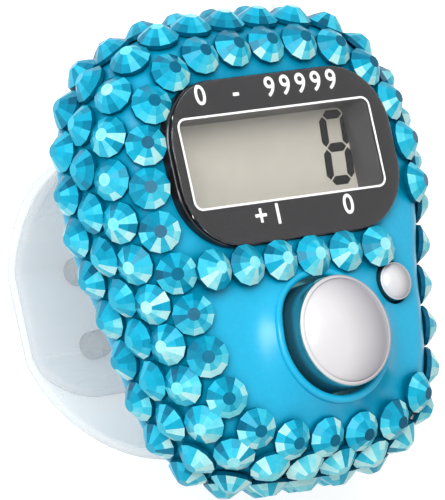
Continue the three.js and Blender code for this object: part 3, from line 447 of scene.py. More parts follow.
def cap_profile(radius, low_z, top_z, rise, edge, groove):
    """Radii and heights of a button: a straight side, a rounded edge, a fine groove and a low dome
    z = rim + rise (1 - (r / R)^2)^0.8 inside it."""
    rim_z = top_z - rise
    turn = np.linspace(0, np.pi / 2, 9)
    dome_radius = radius - edge - groove
    across = dome_radius * np.cos(np.linspace(0, np.pi / 2, 28))
    dome = rim_z + rise * (1 - (across / dome_radius) ** 2) ** 0.8
    rounded = [(radius - edge + edge * np.cos(t), rim_z - edge + edge * np.sin(t)) for t in turn]
    start = [(0, low_z), (radius - CAP_HOLLOW, low_z), (radius, low_z)]
    return start + rounded + [(dome_radius + groove / 2, rim_z - groove)] + list(zip(across, dome))


count_cap = cap_profile(COUNT_RADIUS, count_low[2] + 1.0, count_high[2], COUNT_DOME_RISE, 0.32, 0.07)
flange_radius = count_high[0] - COUNT_SPOT[0]
flange_low, flange_high = count_low[2] + np.array(FLANGE_SPAN)
count_flange = [(0, count_low[2]), (STEM_RADIUS, count_low[2]), (STEM_RADIUS, flange_low),
                (flange_radius, flange_low), (flange_radius, flange_high), (0, flange_high)]
count_solid = joined(turned(count_cap, COUNT_SPOT, 128), turned(count_flange, COUNT_SPOT, 64))
count_button = add_mesh("count_cap", count_solid)
reset_cap = cap_profile(RESET_RADIUS, reset_low[2], reset_high[2], RESET_DOME_RISE, 0.12, 0.01)
reset_button = add_mesh("reset_cap", turned(reset_cap, RESET_SPOT, 64))

# Pearl lacquer over a silvered skin: soft silver with a faint warm drift and a glossy clear coat.
pearl_silver = grained("pearl_lacquered_silver", "DEDCDF", "EAE8EA", 3.0, 0.001,
                       {"Metallic": 0.1, "Roughness": 0.3, "Coat Weight": 0.3, "Coat Roughness": 0.06})
# Pearl flakes lie flat in the lacquer, so it turns from white to grey where it is seen edge on.
tree = pearl_silver.node_tree
edge_on = add_node(tree, "ShaderNodeLayerWeight", {"Blend": 0.5})
flop = add_node(tree, "ShaderNodeMapRange", {"Value": edge_on.outputs["Facing"],
                                             "From Min": 0.15, "From Max": 0.55})
flopped = add_node(tree, "ShaderNodeMix", {0: flop.outputs["Result"], 6: tree.nodes["Mix"].outputs[2],
                                           7: colour("A3A0A8")}, data_type="RGBA")
tree.links.new(flopped.outputs[2], tree.nodes["Principled BSDF"].inputs["Base Color"])
# The cap's side keeps the uncoated silvered skin. Its teal is a painted reflection of the cyan shell that it
# mirrors.
silvered_side_painted_reflection = grained("vacuum_silvered_side", "4E8F97", "5E9EA6", 0.6, 0.001,
                        {"Metallic": 0.8, "Roughness": 0.16})
place(count_button, pearl_silver, "silvered_abs", "count_button", body="count_key")
place(reset_button, pearl_silver, "silvered_abs", "reset_button", body="reset_key")
for button, top, drop in ((count_button, count_high, COUNT_SIDE_DROP),
                          (reset_button, reset_high, RESET_SIDE_DROP)):
    button.data.materials.append(silvered_side_painted_reflection)
    heights = np.empty(len(button.data.polygons) * 3)
    button.data.polygons.foreach_get("center", heights)
    on_side = heights[2::3] < (top[2] - drop) * MM
    button.data.polygons.foreach_set("material_index", on_side.astype(np.int32))


# Front shell
# The case's other half in the same moulded cyan ABS: straight drafted sides, a round shoulder and a low
# crown, with a rolled collar round the count button's well. It slips over the cover's lip.

SHOULDER_Z = 26.8
SHOULDER_HEIGHT = 5.2
CROWN_HEIGHT = 1.0
FLAT_SHARE = 0.8
BACK_DRAFT = 0.025
SHELL_WALL = 1.6
TOP_WALL = 1.3
COUNT_WELL_RADIUS = 5.25
RESET_WELL_RADIUS = 1.9
COLLAR_REACH = 8.9
COLLAR_LIFT = 0.85
COLLAR_FADE = (-8.4, -3.9)
COLLAR_CREST = 5.62
COLLAR_FOOT_Z = 32.5
COLLAR_POWER = 2.6
CREST_SEAM = 0.03
# Painted shade between the crystals: how far the occlusion looks, the deep teal that it paints, and the gloss
# of the unshaded plastic.
GAP_SHADE_REACH = 1.6
GAP_PAINTED_SHADE = "0084A8"
UNSHADED_SHINE = 0.5
WINDOW_TRIM = 1.4
CUT_SPAN = (29.0, 36.0)
CROWN_TOP_Z = SHOULDER_Z + SHOULDER_HEIGHT + CROWN_HEIGHT
WINDOW_SIZE = (20.6, 7.8)
WINDOW_SPOT = (-0.55, 7.0)
WINDOW_RADIUS = 0.8


def smooth_step(share):
    """3 s^2 - 2 s^3 between 0 and 1."""
    share = np.clip(share, 0, 1)
    return share * share * (3 - 2 * share)


def collar_top(y):
    """Height of the collar's crest: level round the well, and sinking by the lift towards the row of
    crystals, as 1 - step((y - fade start) / fade length)."""
    faded = smooth_step(np.interp(y, COLLAR_FADE, (0, 1)))
    return shell_high[2] + COLLAR_LIFT * (1 - faded)


def skin(inset, drop):
    """The body's skin from its back edge to its top, as its outline, inset and scaled row by row: the
    drafted side, a quarter ellipse for the shoulder and a parabola for the crown, lowered by drop."""
    rise = np.linspace(0, 1, 8)[:-1]
    turn = np.linspace(0, np.pi / 2, 25)
    share = np.linspace(FLAT_SHARE, 0, 56)[1:]
    side_z = shell_low[2] + (SHOULDER_Z - shell_low[2]) * rise
    side = 1 - BACK_DRAFT * (SHOULDER_Z - side_z) / (SHOULDER_Z - shell_low[2])
    shoulder = FLAT_SHARE + (1 - FLAT_SHARE) * np.cos(turn)
    shoulder_z = SHOULDER_Z + (SHOULDER_HEIGHT - drop) * np.sin(turn)
    crown = CROWN_TOP_Z - drop - CROWN_HEIGHT * (share / FLAT_SHARE) ** 2
    scale = np.concatenate([side, shoulder, share])
    points = np.empty((len(scale), SHELL_COLUMNS, 3))
    points[:, :, :2] = scale[:, None, None] * body_outline(inset, SHELL_COLUMNS)
    points[:, :, 2] = np.concatenate([side_z, shoulder_z, crown])[:, None]
    return points


def shell_solid():
    """The shell as one closed surface: down its inner skin, round the back edge and up the outer skin.
    Its crown swells into the collar as z = crown + (crest - crown) s^p, where s runs from 0 at the
    collar's foot to 1 at its crest."""
    points = skin(0, 0.0)
    away = np.hypot(points[:, :, 0] - COUNT_SPOT[0], points[:, :, 1] - COUNT_SPOT[1])
    share = np.clip((COLLAR_REACH - away) / (COLLAR_REACH - COLLAR_CREST), 0, 1)
    swell = share ** COLLAR_POWER
    points[:, :, 2] += swell * np.maximum(0, collar_top(points[:, :, 1]) - CREST_SEAM - points[:, :, 2])
    rows = np.concatenate([skin(SHELL_WALL, TOP_WALL)[::-1], points])
    return rows.reshape(-1, 3), grid_faces(len(rows), SHELL_COLUMNS)


front_shell = add_mesh("front_shell_skin", shell_solid())
well_tools = rod(COUNT_SPOT, COLLAR_CREST, *CUT_SPAN, 128), rod(RESET_SPOT, RESET_WELL_RADIUS, *CUT_SPAN, 64)
cut_size = np.array(WINDOW_SIZE) + WINDOW_TRIM
window_tool = stacked([rounded_rectangle(*cut_size, WINDOW_TRIM, WINDOW_SPOT)] * 2, CUT_SPAN)
cut(front_shell, *well_tools, window_tool)
front_shell.data.set_sharp_from_angle(angle=np.radians(35))

crest_z = shell_high[2]
crest = [(COUNT_WELL_RADIUS, 30.4), (6.4, 30.4), (6.4, 31.8), (5.95, 32.4), (5.95, crest_z - 0.3),
         (5.91, crest_z - 0.14), (5.81, crest_z - 0.04), (5.7, crest_z), (5.52, crest_z - 0.01),
         (5.38, crest_z - 0.07), (5.29, crest_z - 0.17), (COUNT_WELL_RADIUS, crest_z - 0.32),
         (COUNT_WELL_RADIUS, 31.5)]
rim_points, rim_faces = turned(crest, COUNT_SPOT, 128, closed=True)
rim_points[:, 2] += np.where(rim_points[:, 2] > COLLAR_FOOT_Z, collar_top(rim_points[:, 1]) - crest_z, 0)
count_collar = add_mesh("count_well_rim", (rim_points, rim_faces))
reset_tube = [(RESET_WELL_RADIUS, 30.2), (2.7, 30.2), (2.7, 31.0), (RESET_WELL_RADIUS + 0.02, 31.4),
              (RESET_WELL_RADIUS, 30.6)]
reset_well = add_mesh("reset_well_tube", turned(reset_tube, RESET_SPOT, 64, closed=True))
# The same plastic with painted shade: ambient occlusion darkens it towards a deep teal and dulls its gloss
# in the narrow gaps between the crystals, where shade falls.
gap_shaded_abs = grained("cyan_abs_painted_gap_shade", CYAN_DEEP, CYAN_LIGHT, 0.35, 0.004, {"Roughness": 0.32, "IOR": 1.53})
tree = gap_shaded_abs.node_tree
open_sky = add_node(tree, "ShaderNodeAmbientOcclusion", {"Distance": GAP_SHADE_REACH * MM}, samples=8)
unshaded = add_node(tree, "ShaderNodeMapRange", {"Value": open_sky.outputs["AO"],
                                             "From Min": 0.5, "From Max": 0.95})
shine = add_node(tree, "ShaderNodeMath", {0: unshaded.outputs["Result"], 1: UNSHADED_SHINE}, operation="MULTIPLY")
gap_shade_mix = add_node(tree, "ShaderNodeMix", {0: unshaded.outputs["Result"], 6: colour(GAP_PAINTED_SHADE),
                                              7: tree.nodes["Mix"].outputs[2]}, data_type="RGBA")
tree.links.new(gap_shade_mix.outputs[2], tree.nodes["Principled BSDF"].inputs["Base Color"])
tree.links.new(shine.outputs[0], tree.nodes["Principled BSDF"].inputs["Specular IOR Level"])
place(front_shell, gap_shaded_abs, "cyan_abs", "front_shell")
place(count_collar, cyan_abs, "cyan_abs")
place(reset_well, cyan_abs, "cyan_abs")


# Case screws
# Four small self-tapping steel screws with a cross recess, driven up through the cover into the shell's
# bosses.

SCREW_RADIUS = 0.85
SCREW_RECESS = 0.45
SCREW_BLADE = 0.26
SCREW_HEAD = 0.8
SCREW_TIP = 0.9
SCREW_COLUMNS = 72
THREAD_PITCH = 0.8
THREAD_DEPTH = 0.1


def screw_solid(low, high, middle):
    """A screw, head down: the head's face is a polar grid pressed in where |x| or |y| is under half the
    blade's width, and the shank's radius is r + a cos(2 pi z / pitch - t), a single thread."""
    level = np.zeros(SCREW_COLUMNS)
    turn = 2 * np.pi * np.arange(SCREW_COLUMNS) / SCREW_COLUMNS
    seat_z, tip_z = low + SCREW_HEAD, high - SCREW_TIP
    face_radius = np.concatenate([np.linspace(0, 1.15, 14), [1.35, 1.47, 1.5, 1.5]])[:, None]
    face_z = np.concatenate([np.full(14, low), [low + 0.03, low + 0.14, low + 0.3, seat_z]])[:, None]
    x, y = face_radius * np.cos(turn), face_radius * np.sin(turn)
    off_blade = np.minimum(np.abs(x), np.abs(y))
    recess = SCREW_RECESS * smooth_step((SCREW_BLADE - off_blade) / 0.12)
    recess = recess * smooth_step((1.0 - face_radius) / 0.15)
    shank_z = np.linspace(seat_z, tip_z, 60)[:, None]
    core = SCREW_RADIUS - THREAD_DEPTH
    shank_radius = core + THREAD_DEPTH * np.cos(2 * np.pi * shank_z / THREAD_PITCH - turn)
    cone_z = np.linspace(tip_z, high, 6)[:, None]
    cone_radius = core * (high - cone_z) / SCREW_TIP
    radius = np.concatenate([face_radius + level, shank_radius, cone_radius + level])
    height = np.concatenate([face_z + recess, shank_z + level, cone_z + level])
    return carried_round(radius, height, middle)


# Zinc-plated steel: grey and bright, a little rough from the plating.
zinc_steel = grained("zinc_plated_steel", "A9ACAF", "C6C9CC", 0.12, 0.003,
                     {"Metallic": 1.0, "Roughness": 0.33})
for name, spot in zip(SCREW_NODES, screw_places):
    low, high = box_mm(name)
    screw = add_mesh(f"{name}_threaded", screw_solid(low[2], high[2], spot))
    place(screw, zinc_steel, "steel", name)


# Display panel
# A black moulded bezel on the shell, a black printed mask with a white line round the window and white
# numerals, and a clear acrylic lens with rolled edges glued over them.

mask_low, mask_high = box_mm("display_mask")
lens_low, lens_high = box_mm("display_lens")
PANEL_SIZE = (mask_high - mask_low)[:2]
PANEL_SPOT = tuple((mask_high + mask_low)[:2] / 2)
PANEL_RADIUS = 5.5
LENS_ROLL = 2.4
LENS_FLAT = 5.3
LINE_LIFT = 0.015
LINE_OFFSET = -0.1
LINE_WIDTH = 0.18
NUMERAL_HEIGHT = 1.75
NUMERALS = [("range_numerals", "0  -  99999", (PANEL_SPOT[0] - 0.6, 12.75)),
            ("count_numeral", "+1", (-3.6, 1.95)), ("reset_numeral", "0", (5.2, 1.95))]


def outline_of(size, radius, spot):
    """A rounded rectangle's outline, as a function of how far it is grown all round."""
    return lambda extra: rounded_rectangle(size[0] + 2 * extra, size[1] + 2 * extra, radius + extra, spot)


panel_outline = outline_of(PANEL_SIZE, PANEL_RADIUS, PANEL_SPOT)
window_outline = outline_of(WINDOW_SIZE, WINDOW_RADIUS, WINDOW_SPOT)


def holed_plate(outer, inner, low, high):
    """A flat plate between two outlines with as many points: down the hole, out, up the edge and back in."""
    rows = [(inner, low), (outer, low), (outer, high), (inner, high)]
    points = np.stack([np.column_stack([line, np.full(len(line), z)]) for line, z in rows])
    return points.reshape(-1, 3), grid_faces(4, len(outer), wrap_rows=True)


bezel_lines = [panel_outline(extra) for extra in (0.15, 0.15, 0.1, 0.0)]
bezel_heights = [31.7, *(mask_low[2] - np.array([0.25, 0.08, 0.01]))]
bezel = add_mesh("display_bezel", stacked(bezel_lines, bezel_heights))
cut(bezel, stacked([window_outline(0.1)] * 2, CUT_SPAN))
mask_solid = holed_plate(panel_outline(0.0), window_outline(0.0), mask_low[2], mask_high[2])
mask = add_mesh("display_mask_print", mask_solid)
line_z = mask_high[2] + 0.002
ink_z = line_z + LINE_LIFT
line_sides = window_outline(LINE_OFFSET + LINE_WIDTH), window_outline(LINE_OFFSET)
frame_line = add_mesh("window_line_print", holed_plate(*line_sides, line_z, ink_z))

roll = (1 - np.cos(np.linspace(0, np.pi / 2, 14))) * LENS_ROLL
lens_edge = lens_low[2] + 0.12
roll_z = lens_edge + (lens_high[2] - lens_edge) * np.sqrt(1 - (1 - roll / LENS_ROLL) ** 2)
lens_outlines = [panel_outline(-inset) for inset in (0.0, *roll, LENS_FLAT)]
lens_heights = np.concatenate([[lens_low[2] + 0.01], roll_z, [lens_high[2] + 0.02]])
lens = add_mesh("display_lens_moulding", stacked(lens_outlines, lens_heights), sharp=60.0)


def numerals(name, text, middle):
    """Printed numerals: the built-in font's outlines as a flat mesh, centred and scaled to their height."""
    curve = bpy.data.curves.new(name, "FONT")
    curve.body = text
    curve.resolution_u = 6
    curve.space_character = 1.4
    curve.offset = 0.014
    shown = show(name, curve)
    bpy.context.view_layer.update()
    mesh = bpy.data.meshes.new_from_object(shown)
    bpy.data.objects.remove(shown)
    flat = np.empty(len(mesh.vertices) * 3)
    mesh.vertices.foreach_get("co", flat)
    flat = flat.reshape(-1, 3)
    low, high = flat.min(axis=0), flat.max(axis=0)
    flat = (flat - (low + high) / 2) * NUMERAL_HEIGHT / (high[1] - low[1])
    flat[:, :2] += middle
    flat[:, 2] = ink_z
    mesh.vertices.foreach_set("co", (flat * MM).ravel())
    mesh.update()
    return show(name, mesh)


# Screen-printed ink on the lens's back: a warm black ground, and white lines.
black_ink = grained("screen_printed_black_ink", "141214", "1D1A1D", 0.2, 0.001,
                    {"Roughness": 0.4, "Specular IOR Level": 0.1})
white_ink = grained("screen_printed_white_ink", "E8E8E6", "F4F4F2", 0.15, 0.001, {"Roughness": 0.5})
gloss_black = grained("glossy_black_abs", "19181A", "242225", 0.4, 0.002, {"Roughness": 0.18, "IOR": 1.53})
# Cast acrylic: clear, with a polished face. Its index is set below acrylic's, so that the even white
# room round it doesn't wash out the print and the display.
clear_acrylic = grained("polished_clear_acrylic", "FFFFFF", "FAFCFC", 4.0, 0.0003, {
    "Roughness": 0.02, "IOR": 1.35, "Specular IOR Level": 0.12, "Transmission Weight": 1.0})
lens.visible_shadow = False
place(bezel, gloss_black, "black_abs")
place(mask, black_ink, "printed_mask", "display_mask")
place(lens, clear_acrylic, "clear_acrylic", "display_lens")
for piece in (frame_line, *[numerals(*line) for line in NUMERALS]):
    place(piece, white_ink, "printed_mask")


# Finger strap
# Two bands of clear silicone rubber whose thick roots sit in the cover. The upper band's end lies inside
# the lower one and its holes button over two round-headed pegs.

LOOP_CENTRE_Y = -0.8
LOOP_TOP_REACH = 14.6
LOOP_BOTTOM_REACH = 15.2
LOOP_TOP_EXPONENT = 2.3
LOOP_BOTTOM_EXPONENT = 1.8
LOOP_FLATTENING = 0.7
LOOP_DEPTH = cover_low[2]
STRAP_GAP = 0.2
UPPER_LENGTH = 44.0
LOWER_LENGTH = 52.5
OVERLAP_LEAD = 4.0
TIP_RADIUS = 5.0
PEG_PLACES = (3.5, -3.2)
PEG_RADIUS = 1.25
PEG_HOLE_RADIUS = 1.7
PEG_PITCH = 6.7
PEG_FOOT_Z = 0.45
PEG_TOP_Z = 2.7
PEG_HEAD = 0.95
TIP_CLOSING = 0.4
ROOT_DEPTH = 2.4
PEG_HOLE_SPAN = (-1.5, 4.5)


def loop_points():
    """The loop's outer side: half superellipses y = c + R cos^(2/n), z = D - (D + f) sin^(2/n), flattened
    at z = 0, with a different R and n above and below, and a short straight root at each end."""
    turn = np.pi * np.arange(401) / 400
    upper = turn < np.pi / 2
    exponent = np.where(upper, LOOP_TOP_EXPONENT, LOOP_BOTTOM_EXPONENT)
    reach = np.where(upper, LOOP_TOP_REACH, -LOOP_BOTTOM_REACH)
    y = LOOP_CENTRE_Y + reach * np.abs(np.cos(turn)) ** (2 / exponent)
    z = LOOP_DEPTH - (LOOP_DEPTH + LOOP_FLATTENING) * np.abs(np.sin(turn)) ** (2 / exponent)
    line = np.stack([y, np.maximum(0, z)], axis=-1)
    return np.vstack([[line[0, 0], cover_high[2]], line, [line[-1, 0], cover_high[2]]])


loop = loop_points()
loop_reach = np.concatenate([[0], np.cumsum(np.linalg.norm(np.diff(loop, axis=0), axis=1))])
LOOP_LENGTH = loop_reach[-1]


def unit(vectors):
    """Each vector over its length."""
    return vectors / np.linalg.norm(vectors, axis=-1, keepdims=True)


def loop_station(distance):
    """The loop's outer point at a distance along it, and the unit direction into the loop there."""
    at = lambda d: np.stack([np.interp(d, loop_reach, side) for side in loop.T], axis=-1)
    along = unit(at(distance + 0.6) - at(distance - 0.6))
    return at(distance), np.stack([along[:, 1], -along[:, 0]], axis=-1)


def band(start, end, lift, tip_at_start):
    """A strap: a stadium section, half a thickness round at its edges, carried along the loop. Its half
    width follows a quarter circle at the free tip, and its thickness closes on a quarter circle there."""
    tip = np.concatenate([TIP_RADIUS * (1 - np.cos(np.linspace(0, np.pi / 2, 24))),
                          np.linspace(TIP_RADIUS, end - start, 150)[1:]])
    left = tip if tip_at_start else tip[::-1]
    distance = start + left if tip_at_start else end - left
    drop = np.maximum(0, TIP_RADIUS - left)
    half = STRAP_WIDTH / 2 - TIP_RADIUS + np.sqrt(np.maximum(0, TIP_RADIUS ** 2 - drop ** 2))
    closing = np.sqrt(np.clip(1 - (1 - np.minimum(1, left / TIP_CLOSING)) ** 2, 0, 1))
    point, inward = loop_station(distance)
    turn = np.linspace(-np.pi / 2, np.pi / 2, 9)
    round_edge = STRAP_THICKNESS / 2
    edge_run, edge_rise = round_edge * np.cos(turn), round_edge * np.sin(turn)
    face_run, flat = np.linspace(1, -1, 24)[1:-1], np.zeros(22)
    across = np.concatenate([np.ones(9), face_run, -np.ones(9), -face_run])
    edge_x = np.concatenate([edge_run, flat, -edge_run[::-1], flat])
    rise = np.concatenate([edge_rise, flat + round_edge, edge_rise[::-1], flat - round_edge])
    x = across * (half[:, None] - round_edge) + edge_x
    level = lift(distance)[:, None] + round_edge + rise * closing[:, None]
    yz = point[:, None] + inward[:, None] * level[:, :, None]
    points, faces = tube(np.concatenate([x[:, :, None], yz], axis=-1))
    return points, faces[:, ::-1]


def root_head(y, inwards):
    """The thick bar at a band's root, inside the cover."""
    middle = (0, y + inwards * (ROOT_DEPTH - STRAP_THICKNESS) / 2)
    outline = rounded_rectangle(STRAP_WIDTH, ROOT_DEPTH, 0.4, middle, 5)
    return stacked([outline] * 2, [cover_high[2], cover_high[2] + STRAP_THICKNESS])


lower_end = LOOP_LENGTH - LOWER_LENGTH
step_start = lower_end - OVERLAP_LEAD - 1
upper_lift = lambda d: (STRAP_THICKNESS + STRAP_GAP) * smooth_step((d - step_start) / OVERLAP_LEAD)
neck_z = PEG_TOP_Z - PEG_HEAD
peg_profile = [(0, PEG_FOOT_Z), (PEG_RADIUS, PEG_FOOT_Z), (PEG_RADIUS, neck_z)] + [
    (PEG_RADIUS * np.cos(t), neck_z + PEG_HEAD * np.sin(t)) for t in np.linspace(0, np.pi / 2, 12)[1:]]
pegs = [turned(peg_profile, (0, y), 48) for y in PEG_PLACES]
lower_strip = band(lower_end, LOOP_LENGTH, lambda d: 0 * d, True)
upper_strip = band(0, UPPER_LENGTH, upper_lift, False)
lower_band = add_mesh("lower_band", joined(lower_strip, root_head(LOWER_ROOT_Y, 1), *pegs))
upper_band = add_mesh("upper_band", joined(upper_strip, root_head(UPPER_ROOT_Y, -1)))


def peg_hole(distance):
    """A round cutter square to the strap at a distance along it."""
    point, inward = loop_station(np.array([distance]))
    turn = 2 * np.pi * np.arange(40) / 40
    sideways = np.array([0, -inward[0, 1], inward[0, 0]])
    up = np.array([0, *inward[0]])
    ring = PEG_HOLE_RADIUS * (np.outer(np.cos(turn), [1, 0, 0]) + np.outer(np.sin(turn), sideways))
    centre = np.array([0, *point[0]])
    return tube([centre + reach * up + ring for reach in PEG_HOLE_SPAN])


first_peg = loop_reach[np.argmax((loop[:, 0] < PEG_PLACES[0]) & (loop[:, 1] < 6))]
cut(upper_band, *[peg_hole(first_peg + turn * PEG_PITCH) for turn in (-1, 0, 1, 2)])
upper_band.data.set_sharp_from_angle(angle=np.radians(35))

# Liquid silicone rubber with a satin skin: clear, slightly milky, with soft bright edges.
clear_silicone = grained("satin_clear_silicone", "E2E5E7", "ECEEEF", 2.5, 0.001,
                         {"Roughness": 0.35, "IOR": 1.41})
tree = clear_silicone.node_tree
edge_on = add_node(tree, "ShaderNodeLayerWeight", {"Blend": 0.2})
milky = add_node(tree, "ShaderNodeMapRange", {"Value": edge_on.outputs["Facing"],
                                              "To Min": 0.1, "To Max": 1.0})
tree.links.new(milky.outputs["Result"], tree.nodes["Principled BSDF"].inputs["Alpha"])
place(lower_band, clear_silicone, "clear_silicone", "lower_strap")
dress(clear_silicone, upper_band)
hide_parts("upper_strap", "upper_strap_end")
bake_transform(upper_band)


# Crystals
# Flat-backed round stones of cut acrylic with a foil back, glued edge to edge in rings over the side and
# shoulder, and in a short row between the display and the buttons.

STONE_SIDES = 12
STONE_RADIUS = 1.79
STONE_TABLE = 0.56
STONE_WAIST = (1.22, 0.94)
STONE_BASE = 0.05
STONE_GIRDLE = 0.42
STONE_TOP = 1.45
RING_STEPS = 8
SIDE_LEVEL = 0.4
SHOULDER_LEVEL = 3.0
ROW_START = -10.3
ROW_PITCH = 3.55
ROW_Y = -2.0
ROW_COUNT = 6
BUTTON_SIDE = 5.0
BUTTON_SPAN = (-15.5, 0.5)
# The fixed side towards which the crystals' painted brightness rises.
PAINTED_SHINE_SIDE = np.array([0.45, -0.75, 0.1])


def side_place(height):
    """Scale and height of the skin on the side, by its height above the back edge."""
    return 1 - BACK_DRAFT * (1 - height / (SHOULDER_Z - shell_low[2])), shell_low[2] + height


def shoulder_place(degrees):
    """Scale and height of the skin on the shoulder, by the angle round it."""
    turn = np.radians(degrees)
    return FLAT_SHARE + (1 - FLAT_SHARE) * np.cos(turn), SHOULDER_Z + SHOULDER_HEIGHT * np.sin(turn)


def ring_frames(count, phase, where, step, level_at, keep):
    """Points evenly round the body's skin, each at its own level, with three unit directions: along the
    ring, up the skin, and out of it, which is along x up."""
    line = body_outline(0, count * RING_STEPS)
    index = np.arange(count) * RING_STEPS + phase
    at = line[index % len(line)]
    ahead = line[(index + 1) % len(line)] - line[index - 1]
    level = level_at(at[:, 1])
    (scale, z), (low_scale, low_z) = where(level), where(level - step)
    high_scale, high_z = where(level + step)
    along = np.column_stack([ahead, np.zeros(count)])
    climb = np.column_stack([(high_scale - low_scale)[:, None] * at, high_z - low_z])
    out = np.cross(along, climb)
    up = np.cross(out, along)
    point = np.column_stack([scale[:, None] * at, z])
    kept = keep(at)
    return tuple(v[kept] for v in (point, unit(along), unit(up), unit(out)))


def painted_stone_shades(facet_normal, table, seed):
    """Painted light and shade of each wedge: foil-backed stones shine on the side away from the light, so the
    painted brightness rises with the wedge's lean that way, and steps up and down from wedge to wedge, with
    a little scatter. Two wedges are painted darker, and the inner ring follows the outer one, a third of the
    way to the table's painted shade."""
    stones = len(facet_normal)
    shape = stones, STONE_SIDES
    scatter = np.random.default_rng(seed)
    # Painted light: a wedge is brighter the more it leans towards one fixed side.
    lean = facet_normal @ PAINTED_SHINE_SIDE
    steps = np.where(np.arange(STONE_SIDES) % 2 == 0, -0.1, 0.1)
    outer = 0.67 + 0.27 * np.tanh(3 * (lean + 0.15)) + steps + scatter.normal(0, 0.1, shape)
    shaded = np.arange(stones)[:, None], scatter.integers(0, STONE_SIDES, (stones, 2))
    outer[shaded] -= 0.3
    inner = 0.65 * outer + 0.35 * (0.35 + 0.5 * table) + scatter.normal(0, 0.06, shape)
    tables = np.full(shape, table) + scatter.normal(0, 0.03, (stones, 1))
    # The base and the girdle wall are painted near black: painted shade where each stone meets the skin.
    dark = np.full(shape, 0.02)
    return np.clip(np.stack([dark, dark, outer, inner, tables], axis=1), 0, 1).ravel()


def stone_solid(frames, table, seed):
    """All stones of one ring: rings of corners at the base, the girdle and the table of a cone, in the
    plane of along and up, raised along out. Returns the solid and each facet's tone, a painted shade."""
    point, along, up, out = frames
    scatter = np.random.default_rng(seed)
    twist = scatter.uniform(0, 2 * np.pi, len(point))
    turn = 2 * np.pi * np.arange(STONE_SIDES) / STONE_SIDES + twist[:, None]
    levels = [(0, STONE_BASE), (STONE_RADIUS - 0.04, STONE_BASE), (STONE_RADIUS, STONE_GIRDLE),
              STONE_WAIST, (STONE_TABLE, STONE_TOP), (0, STONE_TOP)]
    around = np.cos(turn)[:, :, None] * along[:, None] + np.sin(turn)[:, :, None] * up[:, None]
    rows = [point[:, None] + radius * around + rise * out[:, None] for radius, rise in levels]
    grid = np.stack(rows, axis=1)
    faces = grid_faces(len(levels), STONE_SIDES)
    faces = faces + (np.arange(len(point)) * len(levels) * STONE_SIDES)[:, None, None]
    middle = (around + np.roll(around, -1, axis=1)) / 2
    slope = STONE_TOP - STONE_GIRDLE, STONE_RADIUS - STONE_TABLE
    normal = unit(slope[0] * middle + slope[1] * out[:, None])
    return (grid.reshape(-1, 3), faces.reshape(-1, 4)), painted_stone_shades(normal, table, seed + 100)


everywhere = lambda at: np.full(len(at), True)
beside_buttons = lambda y: (y > BUTTON_SPAN[0]) & (y < BUTTON_SPAN[1])
clear_of_buttons = lambda at: ~((at[:, 0] > BUTTON_SIDE) & beside_buttons(at[:, 1]))
back_level = lambda y: 1.45 + 0 * y
side_level = lambda y: 4.6 + 0 * y
edge_level = lambda y: 29 + 6 * (y / HALF_HEIGHT) ** 2
front_level = lambda y: 69 + 9 * np.maximum(0, y / HALF_HEIGHT) ** 2
row_spots = [(ROW_START + ROW_PITCH * number, ROW_Y, CROWN_TOP_Z + 0.05) for number in range(ROW_COUNT)]
row_frames = (np.array(row_spots), *(np.tile(axis, (ROW_COUNT, 1)) for axis in np.eye(3)))
side, shoulder = (side_place, SIDE_LEVEL), (shoulder_place, SHOULDER_LEVEL)
# Each ring's places and shift round the outline, its skin, its level there, where it is kept, and the
# painted shade of its tables.
rings = {
    "crystal_ring_back": (ring_frames(32, 4, *side, back_level, everywhere), 0.55),
    "crystal_ring_side": (ring_frames(32, 1, *side, side_level, everywhere), 0.65),
    "crystal_ring_edge": (ring_frames(32, 4, *shoulder, edge_level, everywhere), 0.92),
    "crystal_ring_front": (ring_frames(28, 7, *shoulder, front_level, clear_of_buttons), 0.08),
    "crystal_row_middle": (row_frames, 0.92),
}

# Cut acrylic with foil behind it: each facet's painted shade, which stands in for the light and shade that
# the foil throws back, picks a colour from deep blue to almost white, under a hard clear gloss.
foil_crystal, tree = start_material("foil_backed_cyan_crystal")
tone = add_node(tree, "ShaderNodeAttribute", attribute_name="tone")
place_node = add_node(tree, "ShaderNodeTexCoord")
cloud = add_node(tree, "ShaderNodeTexNoise", {"Vector": place_node.outputs["Object"],
                                              "Scale": 1 / (0.6 * MM)})
drift = add_node(tree, "ShaderNodeMath", {0: cloud.outputs["Fac"], 1: 0.16, 2: -0.08},
                 operation="MULTIPLY_ADD")
toned = add_node(tree, "ShaderNodeMath", {0: tone.outputs["Fac"], 1: drift.outputs[0]}, operation="ADD")
shades = add_node(tree, "ShaderNodeValToRGB", {"Fac": toned.outputs[0]})
shade_stops = [(0.0, "005B79"), (0.2, "007B9D"), (0.4, "0593B4"), (0.6, "16B6DA"), (0.78, "45D2EC"),
               (0.9, "82ECF7"), (1.0, "C8FCFC")]
for number, (at, code) in enumerate(shade_stops):
    stop = shades.color_ramp.elements[number] if number < 2 else shades.color_ramp.elements.new(at)
    stop.position = at
    stop.color = colour(code)
gem = add_node(tree, "ShaderNodeBsdfPrincipled", {"Base Color": shades.outputs["Color"], "Roughness": 0.2,
                                                  "IOR": 1.5, "Specular IOR Level": 0.14})
add_node(tree, "ShaderNodeOutputMaterial", {"Surface": gem.outputs["BSDF"]})

for seed, (name, (frames, table)) in enumerate(rings.items(), 1):
    solid, tones = stone_solid(frames, table, seed)
    stones = add_mesh(f"{name}_stones", solid, sharp=0, tones=tones)
    place(stones, foil_crystal, "cyan_crystal", name)


# Floor, light and camera
# A plain pale floor under one broad soft lamp from the display's left and an even white room, seen down
# the photograph's line of sight.

FLOOR_REACH = 3000.0
AIM = np.array([1.42, 1.20, 20.0])
CAMERA_DISTANCE = 600.0
VIEW_HEIGHT = 43.05
TOWARDS_CAMERA = np.array([-0.611, -0.097, 0.785])
PICTURE_UP = np.array([0.111, 0.972, 0.206])
LAMP_DISTANCE = 420.0
LAMP_WIDTH = 260.0
LAMP_SIDE = np.array([-0.65, 0.3, 0.85])
LAMP_WATTS = 1.5
ROOM_STRENGTH = 0.44
FLOOR_GLOW = 0.6
SENSOR_HEIGHT = 36.0


